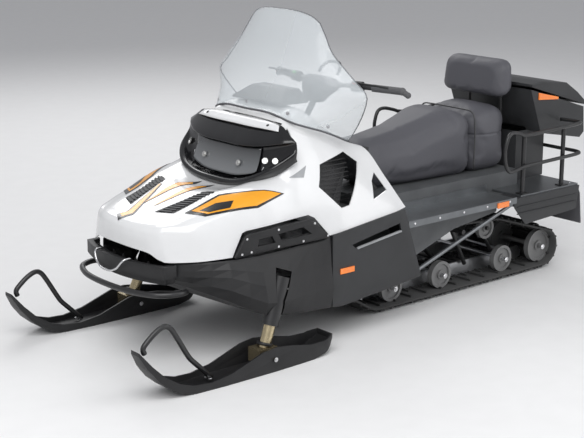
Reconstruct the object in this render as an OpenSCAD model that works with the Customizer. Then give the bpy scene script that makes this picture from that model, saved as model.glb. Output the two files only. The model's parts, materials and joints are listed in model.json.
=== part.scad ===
// Utility snowmobile: +X forward, +Y the machine's left, +Z up, millimetres.
// All places along the machine are measured from the datum, 100 mm ahead of the ski pivots.

/* [Overall] */
// Distance from the middle of the machine forward to the datum
datum_x = 941; // [900:1:980]
// Distance between the two ski centre lines
ski_stance = 970; // [900:1:1050]
// Wall thickness of the moulded body panels
panel_t = 6; // [4:0.5:8]

/* [Skis and struts] */
// Width of a ski over its side walls
ski_w = 160; // [130:1:180]
// Thickness of a ski's sole and walls
ski_t = 8; // [6:0.5:10]
// Backward lean of the steering axis, in degrees
rake = 22; // [10:1:30]
// Inward lean of the steering axis, in degrees
camber = 5; // [0:0.5:8]
// Radius of the plated strut tube
strut_r = 25; // [20:0.5:28]

/* [Track] */
// Width of the track belt
track_w = 600; // [500:1:610]
// Thickness of the belt
belt_t = 10; // [8:0.5:14]
// Height of the lugs
lug_h = 18; // [12:1:25]
// Spacing of the lugs along the belt
lug_pitch = 52; // [45:1:70]
// Radius of the rear idler wheels
idler_r = 84; // [75:1:90]
// Radius of the road wheels
road_r = 67; // [60:1:72]

/* [Tunnel and boards] */
// Half width of the tunnel top
tunnel_half = 250; // [230:1:270]
// Half width over the running boards
board_half = 450; // [420:1:470]
// Height of the running boards
board_z = 458; // [450:1:470]

/* [Steering] */
// Radius of the handlebar tube
bar_r = 11.1; // [10:0.1:12.7]
// Backward lean of the steering column, in degrees
column_lean = 34; // [25:1:45]

/* [Cargo] */
// Half width of the cargo box
box_half = 280; // [240:1:300]
// Wall thickness of the cargo box
box_t = 5; // [4:0.5:8]
// Radius of the rack tubes
rack_r = 11; // [9:0.5:12.5]
// Bore of the hitch for its pin
hitch_bore = 16.4; // [12:0.1:20]

/* [Hidden] */
$fn = 48;

ski_y = ski_stance / 2;
pivot = [-100, ski_y, 55];
belt_stack = belt_t + lug_h;
// Unit vector up the left steering axis
king = [-sin(rake) * cos(camber), -sin(camber), cos(rake) * cos(camber)];
// Middle of the handlebar clamp
clamp = [-835, 0, 1032];
hinge_hood = [290, 0, 462];
hinge_lid = [-1972, 0, 956];

// ---------------------------------------------------------------- helpers

module placed() {
  translate([datum_x, 0, 0]) children();
}

module both_sides() {
  children();
  mirror([0, 1, 0]) children();
}

// Round bar from a to b
module bar(a, b, r) {
  d = b - a;
  translate(a) rotate([0, acos(d[2] / norm(d)), atan2(d[1], d[0])]) cylinder(h = norm(d), r = r);
}

// Bent tube through a list of points, with a slightly fuller ball at each corner
module bent_tube(points, r) {
  for (i = [0 : len(points) - 2]) bar(points[i], points[i + 1], r);
  for (i = [1 : len(points) - 2]) translate(points[i]) sphere(r = r * 1.07);
}

function unit(v) = v / norm(v);

// Tube of the given radius swept along a smooth path, as one closed solid
module swept_tube(path, r, sides = 14) {
  n = len(path);
  tangents = [for (i = [0 : n - 1]) unit(path[min(i + 1, n - 1)] - path[max(i - 1, 0)])];
  start = unit(cross(tangents[0], [0.31, 0.17, 0.93]));
  ups = [for (i = 0, u = start; i < n; i = i + 1,
              u = i < n ? unit(u - (u * tangents[i]) * tangents[i]) : u) u];
  rings = [for (i = [0 : n - 1]) let (v = cross(tangents[i], ups[i]))
    each [for (k = [0 : sides - 1]) let (a = 360 * k / sides)
      path[i] + r * cos(a) * ups[i] + r * sin(a) * v]];
  skin = [for (i = [0 : n - 2]) for (k = [0 : sides - 1])
    let (a = i * sides + k, b = i * sides + (k + 1) % sides)
      each [[a, a + sides, b + sides], [a, b + sides, b]]];
  first = [for (k = [0 : sides - 1]) k];
  last = [for (k = [sides - 1 : -1 : 0]) (n - 1) * sides + k];
  polyhedron(points = rings, faces = concat(skin, [first, last]), convexity = 6);
}

// Side outline in X and Z, extruded from y0 to y1
module side_plate(outline, y0, y1) {
  translate([0, y1, 0]) rotate([90, 0, 0]) linear_extrude(height = y1 - y0) polygon(outline);
}

// Cylinder along Y
module cross_bar(x, z, r, y0, y1) {
  translate([x, y1, z]) rotate([90, 0, 0]) cylinder(h = y1 - y0, r = r);
}

// Catmull-Rom value between p1 and p2
function blend4(p0, p1, p2, p3, t) =
  0.5 * (2 * p1 + (p2 - p0) * t + (2 * p0 - 5 * p1 + 4 * p2 - p3) * t * t
         + (3 * p1 - p0 - 3 * p2 + p3) * t * t * t);

function reflected(a, b) = 2 * a - b;

// Smooth row of n steps per span through the points of one row
function smooth_row(row, n) =
  let (last = len(row) - 1)
  [for (i = [0 : last - 1]) for (k = [0 : n - 1])
     blend4(i == 0 ? reflected(row[0], row[1]) : row[i - 1], row[i], row[i + 1],
            i == last - 1 ? reflected(row[last], row[last - 1]) : row[i + 2], k / n),
   row[last]];

function column(net, j) = [for (row = net) row[j]];

function transposed(net) = [for (j = [0 : len(net[0]) - 1]) column(net, j)];

// Net refined n times along its rows and m times along its columns
function smooth_net(net, n, m) =
  transposed([for (col = transposed([for (row = net) smooth_row(row, n)])) smooth_row(col, m)]);

// Half net, from the middle out to +Y, made whole by its mirror image
function whole_row(half) =
  concat([for (j = [len(half) - 1 : -1 : 1]) [half[j][0], -half[j][1], half[j][2]]], half);

function whole_net(net) = [for (row = net) whole_row(row)];

// Moved copy of a net, each point by the step that side(p) gives
function inner_net(net, t) =
  [for (row = net) [for (p = row) [p[0] - t[0], p[1] - sign(p[1]) * t[1], p[2] - t[2]]]];

// Closed shell between two nets of the same size
module net_shell(outer, inner) {
  rows = len(outer);
  cols = len(outer[0]);
  n = rows * cols;
  points = concat([for (row = outer) each row], [for (row = inner) each row]);
  top = [for (i = [0 : rows - 2]) for (j = [0 : cols - 2])
    each [[i * cols + j, i * cols + j + 1, (i + 1) * cols + j + 1],
          [i * cols + j, (i + 1) * cols + j + 1, (i + 1) * cols + j]]];
  under = [for (f = top) [f[2] + n, f[1] + n, f[0] + n]];
  first = [for (j = [0 : cols - 2]) each [[j + 1, j, n + j], [j + 1, n + j, n + j + 1]]];
  e = (rows - 1) * cols;
  last = [for (j = [0 : cols - 2])
    each [[e + j, e + j + 1, n + e + j + 1], [e + j, n + e + j + 1, n + e + j]]];
  left = [for (i = [0 : rows - 2])
    each [[i * cols, (i + 1) * cols, n + (i + 1) * cols], [i * cols, n + (i + 1) * cols, n + i * cols]]];
  c = cols - 1;
  right = [for (i = [0 : rows - 2])
    each [[(i + 1) * cols + c, i * cols + c, n + i * cols + c],
          [(i + 1) * cols + c, n + i * cols + c, n + (i + 1) * cols + c]]];
  polyhedron(points = points, faces = concat(top, under, first, last, left, right), convexity = 8);
}

// Outline of a belt run round circles given as [x, z, r], in order
function lead_angle(a, b) =
  atan2(b[1] - a[1], b[0] - a[0])
  - acos((a[2] - b[2]) / norm([b[0] - a[0], b[1] - a[1]]));

function wrapped(a, low) = a < low ? wrapped(a + 360, low) : a;

function belt_outline(circles, grow, steps) =
  let (n = len(circles))
  [for (i = [0 : n - 1])
     let (c = circles[i], a0 = lead_angle(circles[(i + n - 1) % n], c),
          a1 = wrapped(lead_angle(c, circles[(i + 1) % n]), a0))
     for (k = [0 : steps]) let (a = a0 + (a1 - a0) * k / steps)
       [c[0] + (c[2] + grow) * cos(a), c[1] + (c[2] + grow) * sin(a)]];

// ---------------------------------------------------------------- body nets

// Hood, one row per station from the nose lip back; each row runs from the middle out
hood_net = [
  [[272, 0, 494], [267, 90, 492], [250, 180, 486], [238, 225, 468], [224, 258, 458]],
  [[272, 0, 584], [266, 95, 583], [244, 175, 580], [216, 236, 573], [196, 280, 456]],
  [[180, 0, 614], [172, 120, 614], [148, 220, 612], [115, 300, 590], [100, 338, 456]],
  [[60, 0, 650], [50, 130, 652], [20, 240, 650], [-20, 338, 620], [-40, 378, 458]],
  [[-60, 0, 680], [-70, 140, 686], [-100, 252, 696], [-150, 362, 656], [-170, 415, 464]],
  [[-245, 0, 692], [-250, 150, 704], [-275, 270, 735], [-315, 378, 690], [-330, 432, 474]],
  [[-330, 0, 860], [-335, 160, 860], [-340, 290, 815], [-400, 388, 706], [-430, 443, 480]],
  [[-400, 0, 962], [-402, 150, 960], [-415, 262, 930], [-500, 385, 720], [-560, 446, 488]],
  [[-520, 0, 1000], [-520, 130, 1000], [-540, 232, 962], [-620, 375, 705], [-690, 446, 500]],
  [[-640, 0, 940], [-640, 140, 935], [-650, 250, 890], [-735, 368, 685], [-820, 440, 512]],
  [[-740, 0, 850], [-745, 150, 845], [-760, 258, 822], [-830, 355, 668], [-910, 430, 520]],
  [[-840, 0, 800], [-845, 150, 800], [-872, 262, 784], [-925, 340, 660], [-982, 415, 527]]
];

// Belly tub, one row per station; each row runs from the keel out and up to the rim
belly_net = [
  [[232, 0, 362], [226, 110, 364], [208, 210, 372], [182, 262, 392], [180, 264, 442]],
  [[140, 0, 318], [138, 150, 322], [130, 275, 340], [122, 322, 390], [118, 324, 443]],
  [[20, 0, 262], [20, 190, 265], [10, 392, 285], [0, 412, 385], [-5, 384, 444]],
  [[-110, 0, 222], [-110, 210, 222], [-115, 482, 222], [-125, 478, 340], [-140, 420, 447]],
  [[-250, 0, 190], [-250, 210, 190], [-255, 480, 196], [-260, 476, 345], [-275, 438, 456]],
  [[-380, 0, 176], [-380, 200, 176], [-390, 464, 176], [-395, 464, 360], [-395, 446, 464]],
  [[-500, 0, 172], [-500, 200, 172], [-500, 460, 168], [-500, 460, 358], [-500, 450, 471]]
];

// Windshield, rows from the foot up to the top; each row runs from the middle out
shield_net = [
  [[-400, 0, 985], [-412, 150, 982], [-450, 272, 948], [-590, 308, 900], [-730, 304, 842]],
  [[-440, 0, 1070], [-450, 150, 1066], [-488, 288, 1030], [-590, 380, 985], [-705, 392, 925]],
  [[-478, 0, 1145], [-488, 150, 1140], [-520, 300, 1115], [-580, 412, 1090], [-655, 500, 1062]],
  [[-514, 0, 1215], [-522, 135, 1210], [-545, 260, 1192], [-585, 360, 1165], [-640, 440, 1130]],
  [[-550, 0, 1290], [-556, 120, 1285], [-572, 210, 1270], [-595, 280, 1250], [-622, 325, 1228]],
  [[-580, 0, 1350], [-585, 100, 1347], [-598, 170, 1338], [-612, 225, 1322], [-626, 272, 1298]],
  [[-606, 0, 1402], [-609, 85, 1400], [-615, 145, 1392], [-622, 192, 1378], [-630, 228, 1354]]
];

// Headlight pod, rows from the lower lip up to the brow; each row runs from the middle out
pod_net = [
  [[-262, 0, 668], [-266, 130, 676], [-280, 240, 706], [-320, 320, 752], [-385, 368, 808]],
  [[-205, 0, 690], [-210, 130, 696], [-230, 240, 724], [-285, 325, 772], [-375, 374, 825]],
  [[-212, 0, 714], [-218, 130, 718], [-238, 238, 745], [-292, 325, 795], [-377, 376, 848]],
  [[-270, 0, 720], [-273, 120, 722], [-288, 215, 748], [-330, 315, 806], [-377, 374, 864]],
  [[-300, 0, 845], [-302, 120, 845], [-314, 205, 848], [-345, 300, 866], [-377, 370, 884]],
  [[-268, 0, 858], [-270, 120, 858], [-290, 225, 866], [-332, 312, 882], [-376, 365, 895]],
  [[-322, 0, 915], [-324, 120, 914], [-337, 220, 915], [-356, 295, 916], [-377, 325, 918]],
  [[-388, 0, 962], [-388, 120, 961], [-385, 200, 957], [-380, 262, 950], [-379, 285, 943]]
];

// ---------------------------------------------------------------- front body

module belly_pan() {
  net = whole_net(smooth_net(belly_net, 2, 2));
  color([0.07, 0.07, 0.08]) difference() {
    net_shell(inner_net(net, [0, panel_t, -panel_t]), net);
    for (s = [-1, 1])
      bar([pivot[0], s * pivot[1], pivot[2]] + 60 * [king[0], s * king[1], king[2]],
          [pivot[0], s * pivot[1], pivot[2]] + 360 * [king[0], s * king[1], king[2]], 42);
  }
}

function nose_arc(x, sag, half, steps) =
  [for (k = [-steps : steps]) let (y = half * k / steps) [x - sag * pow(y / half, 2), y]];

module nose_band(x, sag, half, depth, z0, z1) {
  outer = nose_arc(x, sag, half, 10);
  inner = nose_arc(x - depth, sag, half, 10);
  translate([0, 0, z0]) linear_extrude(height = z1 - z0)
    polygon(concat(outer, [for (k = [20 : -1 : 0]) inner[k]]));
}

// Black lip under the nose, its air opening and the slats in it
module front_fascia() {
  color([0.09, 0.09, 0.1]) {
    difference() {
      union() {
        nose_band(308, 62, 286, 60, 392, 446);
        nose_band(290, 60, 270, 46, 366, 394);
      }
      nose_band(286, 56, 262, 60, 400, 450);
    }
    for (s = [-1, 1]) translate([232, s * 268 - 9, 392]) cube([18, 18, 54]);
    for (z = [410, 428]) nose_band(262, 46, 264, 7, z, z + 5);
    for (y = [-160, -80, 0, 80, 160]) translate([248 - abs(y) * 0.1, y - 3, 396]) cube([8, 6, 48]);
  }
}

module front_bumper() {
  color([0.06, 0.06, 0.07]) swept_tube(smooth_row([
    [150, -302, 330], [190, -318, 334], [240, -306, 335], [290, -262, 335], [332, -150, 335],
    [344, 0, 335], [332, 150, 335], [290, 262, 335], [240, 306, 335], [190, 318, 334],
    [150, 302, 330]], 4), 12.5);
}

module tow_handle() {
  color([0.6, 0.6, 0.62]) swept_tube(smooth_row([
    [285, -108, 453], [312, -106, 453], [326, -98, 442], [334, -70, 412], [340, -30, 396],
    [340, 30, 396], [334, 70, 412], [326, 98, 442], [312, 106, 453], [285, 108, 453]], 4), 4.5, 10);
}

// Side air panel under the hood line, turned to follow the body
module intake_panel() {
  translate([-30, 372, 0]) rotate([0, 0, -9])
    difference() {
      side_plate([[-6, 458], [-56, 540], [-70, 548], [-358, 574], [-390, 558], [-462, 492], [-462, 484],
                  [-6, 458]], 0, 22);
      side_plate([[-112, 492], [-118, 522], [-180, 528], [-196, 498]], -1, 23);
      side_plate([[-226, 502], [-210, 532], [-330, 546], [-372, 512]], -1, 23);
    }
}

module intake_panels() {
  color([0.09, 0.09, 0.1]) both_sides() intake_panel();
}

module side_panel() {
  difference() {
    union() {
      side_plate([[-508, 484], [-508, 166], [-560, 160], [-1030, 200], [-1046, 208], [-990, 380],
                  [-938, 530], [-930, 532]], board_half, board_half + 10);
      side_plate([[-935, 498], [-948, 500], [-1046, 208], [-1032, 208]], 330, board_half + 4);
      side_plate([[-508, 178], [-508, 166], [-560, 160], [-1035, 200], [-1035, 210], [-560, 171]],
                 334, board_half + 4);
    }
    side_plate([[-618, 425], [-906, 474], [-918, 430], [-650, 398]], board_half - 1, board_half + 20);
  }
}

module side_panels() {
  color([0.16, 0.16, 0.17]) both_sides() side_panel();
}

module engine_block() {
  color([0.45, 0.45, 0.47]) translate([-515, -170, 240]) cube([260, 340, 330]);
}

// Cross beam with the two strut housings
module front_subframe() {
  color([0.08, 0.08, 0.09]) {
    for (s = [-1, 1]) difference() {
      bar([pivot[0], s * pivot[1], pivot[2]] + 122 * [king[0], s * king[1], king[2]],
          [pivot[0], s * pivot[1], pivot[2]] + 330 * [king[0], s * king[1], king[2]], 36);
      bar([pivot[0], s * pivot[1], pivot[2]] + 120 * [king[0], s * king[1], king[2]],
          [pivot[0], s * pivot[1], pivot[2]] + 300 * [king[0], s * king[1], king[2]], strut_r + 1);
    }
    translate([-250, -425, 300]) cube([50, 850, 55]);
    for (s = [-1, 1]) translate([-500, s * 200 - 15, 300]) cube([260, 30, 40]);
  }
}

// ---------------------------------------------------------------- tunnel and boards

module tunnel() {
  color([0.25, 0.25, 0.27]) {
    difference() {
      translate([-1930, -tunnel_half, 448]) cube([1010, 2 * tunnel_half, 92]);
      translate([-1931, -tunnel_half + 4, 447]) cube([1007, 2 * tunnel_half - 8, 89]);
    }
    // Front plate over the drive shaft and the two side plates
    translate([-524, -330, 176]) cube([5, 660, 330]);
    translate([-924, -tunnel_half, 486]) cube([404, 2 * tunnel_half, 5]);
    both_sides() side_plate([[-519, 176], [-519, 491], [-924, 491], [-924, 452], [-1700, 452],
                             [-1700, 372], [-1400, 335], [-1040, 215], [-1040, 200], [-700, 180]],
                            tunnel_half + 70, tunnel_half + 74);
    both_sides() translate([-1930, tunnel_half - 1, 448]) cube([1006, 76, 4]);
    both_sides() translate([-924, tunnel_half - 1, 486]) cube([404, 76, 5]);
  }
}

module running_board() {
  translate([-1700, tunnel_half + 75, board_z - 4]) cube([728, board_half - tunnel_half - 75, 5]);
  translate([-1700, board_half - 4, board_z - 22]) cube([728, 4, 30]);
  translate([-1700, tunnel_half + 1, board_z - 5]) cube([728, 78, 5]);
  translate([-1700, tunnel_half + 1, board_z - 5]) cube([728, 4, 40]);
}

module running_boards() {
  color([0.5, 0.52, 0.54]) both_sides() running_board();
}

module board_braces() {
  color([0.6, 0.61, 0.62]) both_sides() {
    bar([-1060, 420, 218], [-1690, 428, 430], 9);
  }
}

module cargo_deck() {
  color([0.45, 0.47, 0.49]) difference() {
    translate([-2180, -432, 455]) cube([430, 864, 8]);
    translate([-1931, -251, 440]) cube([200, 502, 40]);
    for (x = [-2130, -1800]) for (y = [-350, 350]) translate([x, y, 440]) cylinder(h = 40, r = 4.25);
  }
}

module rear_skirts() {
  color([0.2, 0.2, 0.21]) both_sides() {
    side_plate([[-1680, 454], [-1700, 408], [-1780, 318], [-2165, 336], [-2182, 454]], 436, 442);
    side_plate([[-1705, 455], [-1790, 446], [-2180, 446], [-2180, 455]], 330, 440);
  }
}

module snow_flap() {
  color([0.05, 0.05, 0.05]) difference() {
    side_plate([[-2181, 462], [-2200, 455], [-2232, 400], [-2252, 240], [-2246, 239], [-2226, 400],
                [-2196, 448], [-2181, 454]], -410, 410);
    translate([-2270, -66, 368]) cube([100, 132, 100]);
  }
}

// ---------------------------------------------------------------- rack and hitch

rack_side = [[-2196, 292, 766], [-2204, 360, 766], [-2200, 405, 766], [-2170, 424, 765],
             [-2000, 424, 759], [-1790, 424, 754], [-1730, 430, 768], [-1672, 440, 782],
             [-1630, 446, 772], [-1608, 446, 720], [-1606, 446, 680], [-1616, 446, 630],
             [-1645, 442, 598], [-1700, 432, 594], [-1790, 424, 602], [-2000, 424, 607],
             [-2160, 424, 611], [-2205, 410, 612], [-2222, 370, 612], [-2222, 300, 612],
             [-2222, 120, 612]];

module cargo_rack() {
  far_side = [for (i = [len(rack_side) - 1 : -1 : 0]) [rack_side[i][0], -rack_side[i][1], rack_side[i][2]]];
  color([0.13, 0.13, 0.14]) {
    swept_tube(smooth_row(concat(rack_side, far_side), 2), rack_r * 0.82, 10);
    both_sides() for (x = [-2085, -1790]) {
      translate([x, 424 - rack_r * 1.82 - 0.6, 463.2]) cylinder(h = 292, r = rack_r);
      translate([x - 25, 384, 463.2]) cube([50, 42, 5]);
    }
  }
}

module tow_hitch() {
  color([0.3, 0.3, 0.32]) difference() {
    union() {
      translate([-2185, -60, 375]) cube([12, 120, 80]);
      translate([-2275, -30, 392]) cube([92, 60, 10]);
      translate([-2275, -30, 432]) cube([92, 60, 10]);
      translate([-2275, 0, 392]) cylinder(h = 10, r = 30);
      translate([-2275, 0, 432]) cylinder(h = 10, r = 30);
    }
    translate([-2275, 0, 380]) cylinder(h = 80, d = hitch_bore);
  }
}

// ---------------------------------------------------------------- seat and box

module seat_front() {
  color([0.08, 0.08, 0.09]) hull() {
    translate([-985, 0, 745]) scale(1) rotate([90, 0, 0]) cylinder(h = 200, r = 28, center = true, $fn = 32);
    translate([-1010, 0, 560]) cube([60, 300, 30], center = true);
    for (s = [-1, 1]) {
      translate([-1600, s * 150, 800]) sphere(r = 50, $fn = 32);
      translate([-1480, s * 150, 822]) sphere(r = 50, $fn = 32);
      translate([-1250, s * 130, 750]) sphere(r = 50, $fn = 32);
      translate([-1620, s * 175, 570]) sphere(r = 24, $fn = 24);
      translate([-1000, s * 150, 570]) sphere(r = 24, $fn = 24);
    }
  }
}

module seat_rear() {
  color([0.08, 0.08, 0.09]) hull() {
    for (s = [-1, 1]) {
      translate([-1715, s * 140, 808]) sphere(r = 45, $fn = 32);
      translate([-1830, s * 145, 828]) sphere(r = 45, $fn = 32);
      translate([-1880, s * 145, 826]) sphere(r = 45, $fn = 32);
      translate([-1690, s * 175, 570]) sphere(r = 24, $fn = 24);
      translate([-1910, s * 175, 570]) sphere(r = 24, $fn = 24);
    }
  }
}

module backrest_pad() {
  color([0.08, 0.08, 0.09]) hull() {
    for (s = [-1, 1]) {
      translate([-1866, s * 150, 926]) sphere(r = 42, $fn = 32);
      translate([-1880, s * 180, 965]) sphere(r = 42, $fn = 32);
      translate([-1908, s * 150, 1046]) sphere(r = 40, $fn = 32);
    }
  }
}

module backrest_frame() {
  color([0.12, 0.12, 0.13]) {
    translate([-1950, -120, 925]) rotate([0, -8, 0]) cube([5, 240, 140]);
    both_sides() translate([-1950, 105, 545]) cylinder(h = 390, r = 8);
  }
}

module cargo_box() {
  color([0.17, 0.17, 0.18]) difference() {
    union() {
      side_plate([[-1972, 936], [-2058, 714], [-2075, 706], [-2370, 650], [-2402, 676], [-2390, 808]],
                 -box_half, box_half);
      translate([-2195, -190, 463]) cube([215, 380, 250]);
    }
    side_plate([[-1970, 965], [-2062, 720], [-2078, 711], [-2368, 656], [-2396, 680], [-2384, 845]],
               -box_half + box_t, box_half - box_t);
    translate([-2190, -185, 468]) cube([205, 370, 260]);
  }
}

module cargo_box_lid() {
  color([0.14, 0.14, 0.15]) difference() {
    side_plate([[-1972, 948], [-1972, 964], [-2050, 970], [-2240, 946], [-2330, 890], [-2408, 828],
                [-2404, 816]], -box_half - 6, box_half + 6);
    side_plate([[-1978, 940], [-1978, 958], [-2050, 964], [-2236, 940], [-2326, 885], [-2394, 830],
                [-2398, 806]], -box_half + 2, box_half - 2);
  }
}

module tail_light() {
  color([0.6, 0.05, 0.05]) side_plate([[-2402, 700], [-2412, 702], [-2409, 742], [-2400, 740]], -110, 110);
}

module reflectors() {
  color([0.95, 0.4, 0.05]) both_sides() {
    translate([-630, board_half + 10, 306]) cube([80, 5, 24]);
    translate([-1640, board_half, 432]) cube([78, 5, 26]);
    side_plate([[-2030, 915], [-2030, 880], [-2180, 868], [-2180, 880]], box_half, box_half + 5);
  }
}

// ---------------------------------------------------------------- steering

module console() {
  color([0.3, 0.31, 0.33]) difference() {
    side_plate([[-640, 900], [-640, 840], [-760, 770], [-925, 682], [-930, 776], [-850, 800],
                [-760, 838]], -225, 225);
    along_column(-400) cylinder(h = 400, r = 30);
    side_plate([[-600, 880], [-600, 800], [-765, 755], [-945, 655], [-945, 740], [-840, 780],
                [-755, 815]], -219, 219);
  }
}

module along_column(h) {
  translate(clamp) rotate([0, -column_lean, 0]) translate([0, 0, h]) children();
}

module handlebar() {
  bend = [clamp + [-108, 418, 20], clamp + [-78, 334, 22], clamp + [-48, 250, 24], clamp + [-20, 120, 22],
          clamp + [-6, 60, 6], clamp + [0, 24, 0]];
  far = [for (i = [len(bend) - 1 : -1 : 0]) [bend[i][0], -bend[i][1], bend[i][2]]];
  color([0.1, 0.1, 0.11]) {
    along_column(-240) cylinder(h = 228, r = 14);
    along_column(-15) cylinder(h = 28, r = 24);
    swept_tube(concat(bend, far), bar_r, 16);
  }
}

module grips() {
  color([0.12, 0.12, 0.13]) both_sides() difference() {
    union() {
      bar(clamp + [-60, 283, 23.5], clamp + [-108, 418, 20], 16.5);
      translate(clamp + [-108, 418, 20]) sphere(r = 17.6);
      bar(clamp + [-108, 418, 20], clamp + [-122, 440, 4], 13);
      translate(clamp + [-122, 440, 4]) sphere(r = 14);
    }
    bar(clamp + [-48, 250, 24], clamp + [-108, 418, 20], bar_r + 0.05);
  }
}

module bar_controls() {
  color([0.07, 0.07, 0.08]) both_sides() {
    difference() {
      bar(clamp + [-33.8, 184, 22.99], clamp + [-44, 232, 23.72], 24);
      bar(clamp + [-20, 120, 22], clamp + [-48, 250, 24], bar_r + 0.05);
    }
    swept_tube(smooth_row([clamp + [-10, 214, 49], clamp + [12, 240, 52], clamp + [8, 290, 49],
                           clamp + [-10, 350, 46], clamp + [-34, 405, 40]], 4), 5, 10);
  }
}

module bar_pad() {
  color([0.07, 0.07, 0.08]) difference() {
    hull() {
      for (s = [-1, 1]) {
        along_column(20) translate([-22, s * 100, 0]) sphere(r = 22, $fn = 32);
        along_column(30) translate([30, s * 88, 0]) sphere(r = 20, $fn = 32);
        along_column(-50) translate([40, s * 70, 0]) sphere(r = 20, $fn = 32);
      }
    }
    swept_tube([clamp + [-50, 262, 24], clamp + [-48, 250, 24], clamp + [-20, 120, 22],
                clamp + [-6, 60, 6], clamp + [0, 24, 0], clamp + [0, -24, 0], clamp + [-6, -60, 6],
                clamp + [-20, -120, 22], clamp + [-48, -250, 24], clamp + [-50, -262, 24]],
               bar_r + 2.5, 12);
    along_column(-330) cylinder(h = 331, r = 16);
    along_column(-18) cylinder(h = 34, r = 26);
  }
}

module grab_strap() {
  color([0.06, 0.06, 0.07]) swept_tube(smooth_row([
    clamp + [-48, -64, 60], clamp + [-66, -58, 84], clamp + [-84, -36, 104], clamp + [-88, 0, 108],
    clamp + [-84, 36, 104], clamp + [-66, 58, 84], clamp + [-48, 64, 60]], 4), 7, 12);
}

// ---------------------------------------------------------------- hood group

// Lamp housing as a solid, or slightly larger for the space it takes in the hood
module pod_space(grow) {
  net = [for (row = whole_net(smooth_net(pod_net, 2, 1)))
    [for (p = row) [p[0] + grow, p[1] * (1 + grow / 150), 815 + (p[2] - 815) * (1 + grow / 60)]]];
  back = [for (row = net) [for (p = row) [p[0] - 60 - 5 * grow, p[1] * 0.97, 815 + (p[2] - 815) * 0.97]]];
  net_shell(net, back);
}

module hood_surface() {
  net = whole_net(smooth_net(hood_net, 2, 2));
  net_shell(net, inner_net(net, [3, panel_t, panel_t]));
}

module hood() {
  color([0.93, 0.93, 0.93]) difference() {
    hood_surface();
    // Room for the headlight pod
    hull() pod_space(3);
    side_plate([[-262, 706], [-262, 660], [-420, 660], [-420, 944], [-388, 958], [-262, 958]], -240, 240);
    // Open back over the console and the steering
    side_plate([[-606, 1100], [-606, 940], [-632, 835], [-760, 760], [-870, 720], [-1000, 690],
                [-1100, 690], [-1100, 1100]], -238, 238);
    // Mesh vent and small vent in each flank
    both_sides() {
      side_plate([[-480, 690], [-520, 775], [-700, 800], [-775, 745], [-640, 590], [-590, 585]], 270, 470);
      side_plate([[-860, 690], [-900, 610], [-790, 588], [-820, 660]], 270, 470);
      side_plate([[-22, 440], [-82, 552], [-100, 560], [-400, 586], [-432, 570], [-505, 480], [-505, 440]],
                 330, 470);
    }
  }
}

module headlight_pod() {
  color([0.06, 0.06, 0.07]) difference() {
    pod_space(0);
    side_plate([[-180, 718], [-262, 722], [-306, 846], [-268, 856], [-180, 856]], -232, 232);
  }
}

module headlight_lens() {
  color([0.25, 0.28, 0.3]) side_plate([[-246, 722], [-257, 724], [-299, 842], [-284, 850], [-276, 850]],
                                      -225, 225);
}

module hood_vents() {
  color([0.1, 0.1, 0.11]) both_sides() {
    translate([0, 0, 0])
      side_plate([[-490, 680], [-526, 765], [-695, 790], [-760, 744], [-636, 600], [-596, 595]], 300, 304);
    side_plate([[-858, 675], [-890, 618], [-800, 598], [-825, 655]], 330, 334);
  }
}

module dash_cowl() {
  color([0.22, 0.22, 0.24]) hull() {
    translate([-466, 0, 1012]) cube([20, 330, 8], center = true);
    translate([-572, 0, 1056]) cube([70, 240, 16], center = true);
    translate([-585, 0, 1012]) cube([60, 350, 8], center = true);
  }
}

module windshield() {
  net = whole_net(smooth_net(shield_net, 3, 2));
  color([0.8, 0.85, 0.88, 0.35]) net_shell(inner_net(net, [3.2, 2.4, 0]), net);
}

// ---------------------------------------------------------------- skis

sole = [[-442, 64], [-420, 34], [-385, 12], [-320, 0], [285, 0], [345, 12], [400, 38], [450, 80],
        [498, 140], [535, 206]];
wall_top = [[528, 212], [480, 150], [425, 95], [360, 55], [300, 36], [220, 30], [120, 44], [40, 70],
            [-40, 96], [-110, 104], [-200, 92], [-300, 70], [-380, 68], [-442, 82]];
floor_line = [[-450, 76], [-414, 42], [-382, 20], [-318, ski_t], [284, ski_t], [342, 20], [395, 46],
              [443, 87], [490, 146], [520, 200], [520, 400], [-450, 400]];

function ski_plan(grow) =
  let (half = [[-442 - grow, 48], [-400, 68], [-250, 76], [-100, ski_w / 2], [150, 77], [350, 66],
               [480, 48], [530 + grow, 26]])
  concat([for (p = half) [p[0], p[1] + grow]], [for (i = [len(half) - 1 : -1 : 0])
         [half[i][0], -half[i][1] - grow]]);

module ski() {
  difference() {
    intersection() {
      side_plate(concat(sole, wall_top), -ski_w / 2, ski_w / 2);
      translate([0, 0, -1]) linear_extrude(height = 300) polygon(ski_plan(0));
    }
    intersection() {
      side_plate(floor_line, -ski_w / 2, ski_w / 2);
      translate([0, 0, -1]) linear_extrude(height = 500) polygon(ski_plan(-ski_t));
    }
    cross_bar(pivot[0], pivot[2], 6.2, -100, 100);
  }
}

module ski_loop() {
  swept_tube(smooth_row([[168, 0, 20], [230, 0, 82], [268, 0, 120], [290, 0, 152], [345, 0, 244],
                         [372, 0, 276], [400, 0, 281], [440, 0, 262], [484, 0, 226], [492, 0, 208],
                         [486, 0, 192]], 3), 11);
}

// Tube, foot block and pivot pin of one ski
module spindle() {
  low = [pivot[0], 0, pivot[2]] + 8 * king;
  translate(low) rotate([0, acos(king[2]), atan2(king[1], king[0])]) rotate([0, 0, 37])
    cylinder(h = 282, r = strut_r);
  translate([pivot[0] - 47, -38, 29]) cube([94, 76, 60]);
  cross_bar(pivot[0], pivot[2], 6, -ski_w / 2 - 8, ski_w / 2 + 8);
}

module left_side() {
  translate([0, ski_y, 0]) children();
}

module right_side() {
  mirror([0, 1, 0]) translate([0, ski_y, 0]) children();
}

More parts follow.
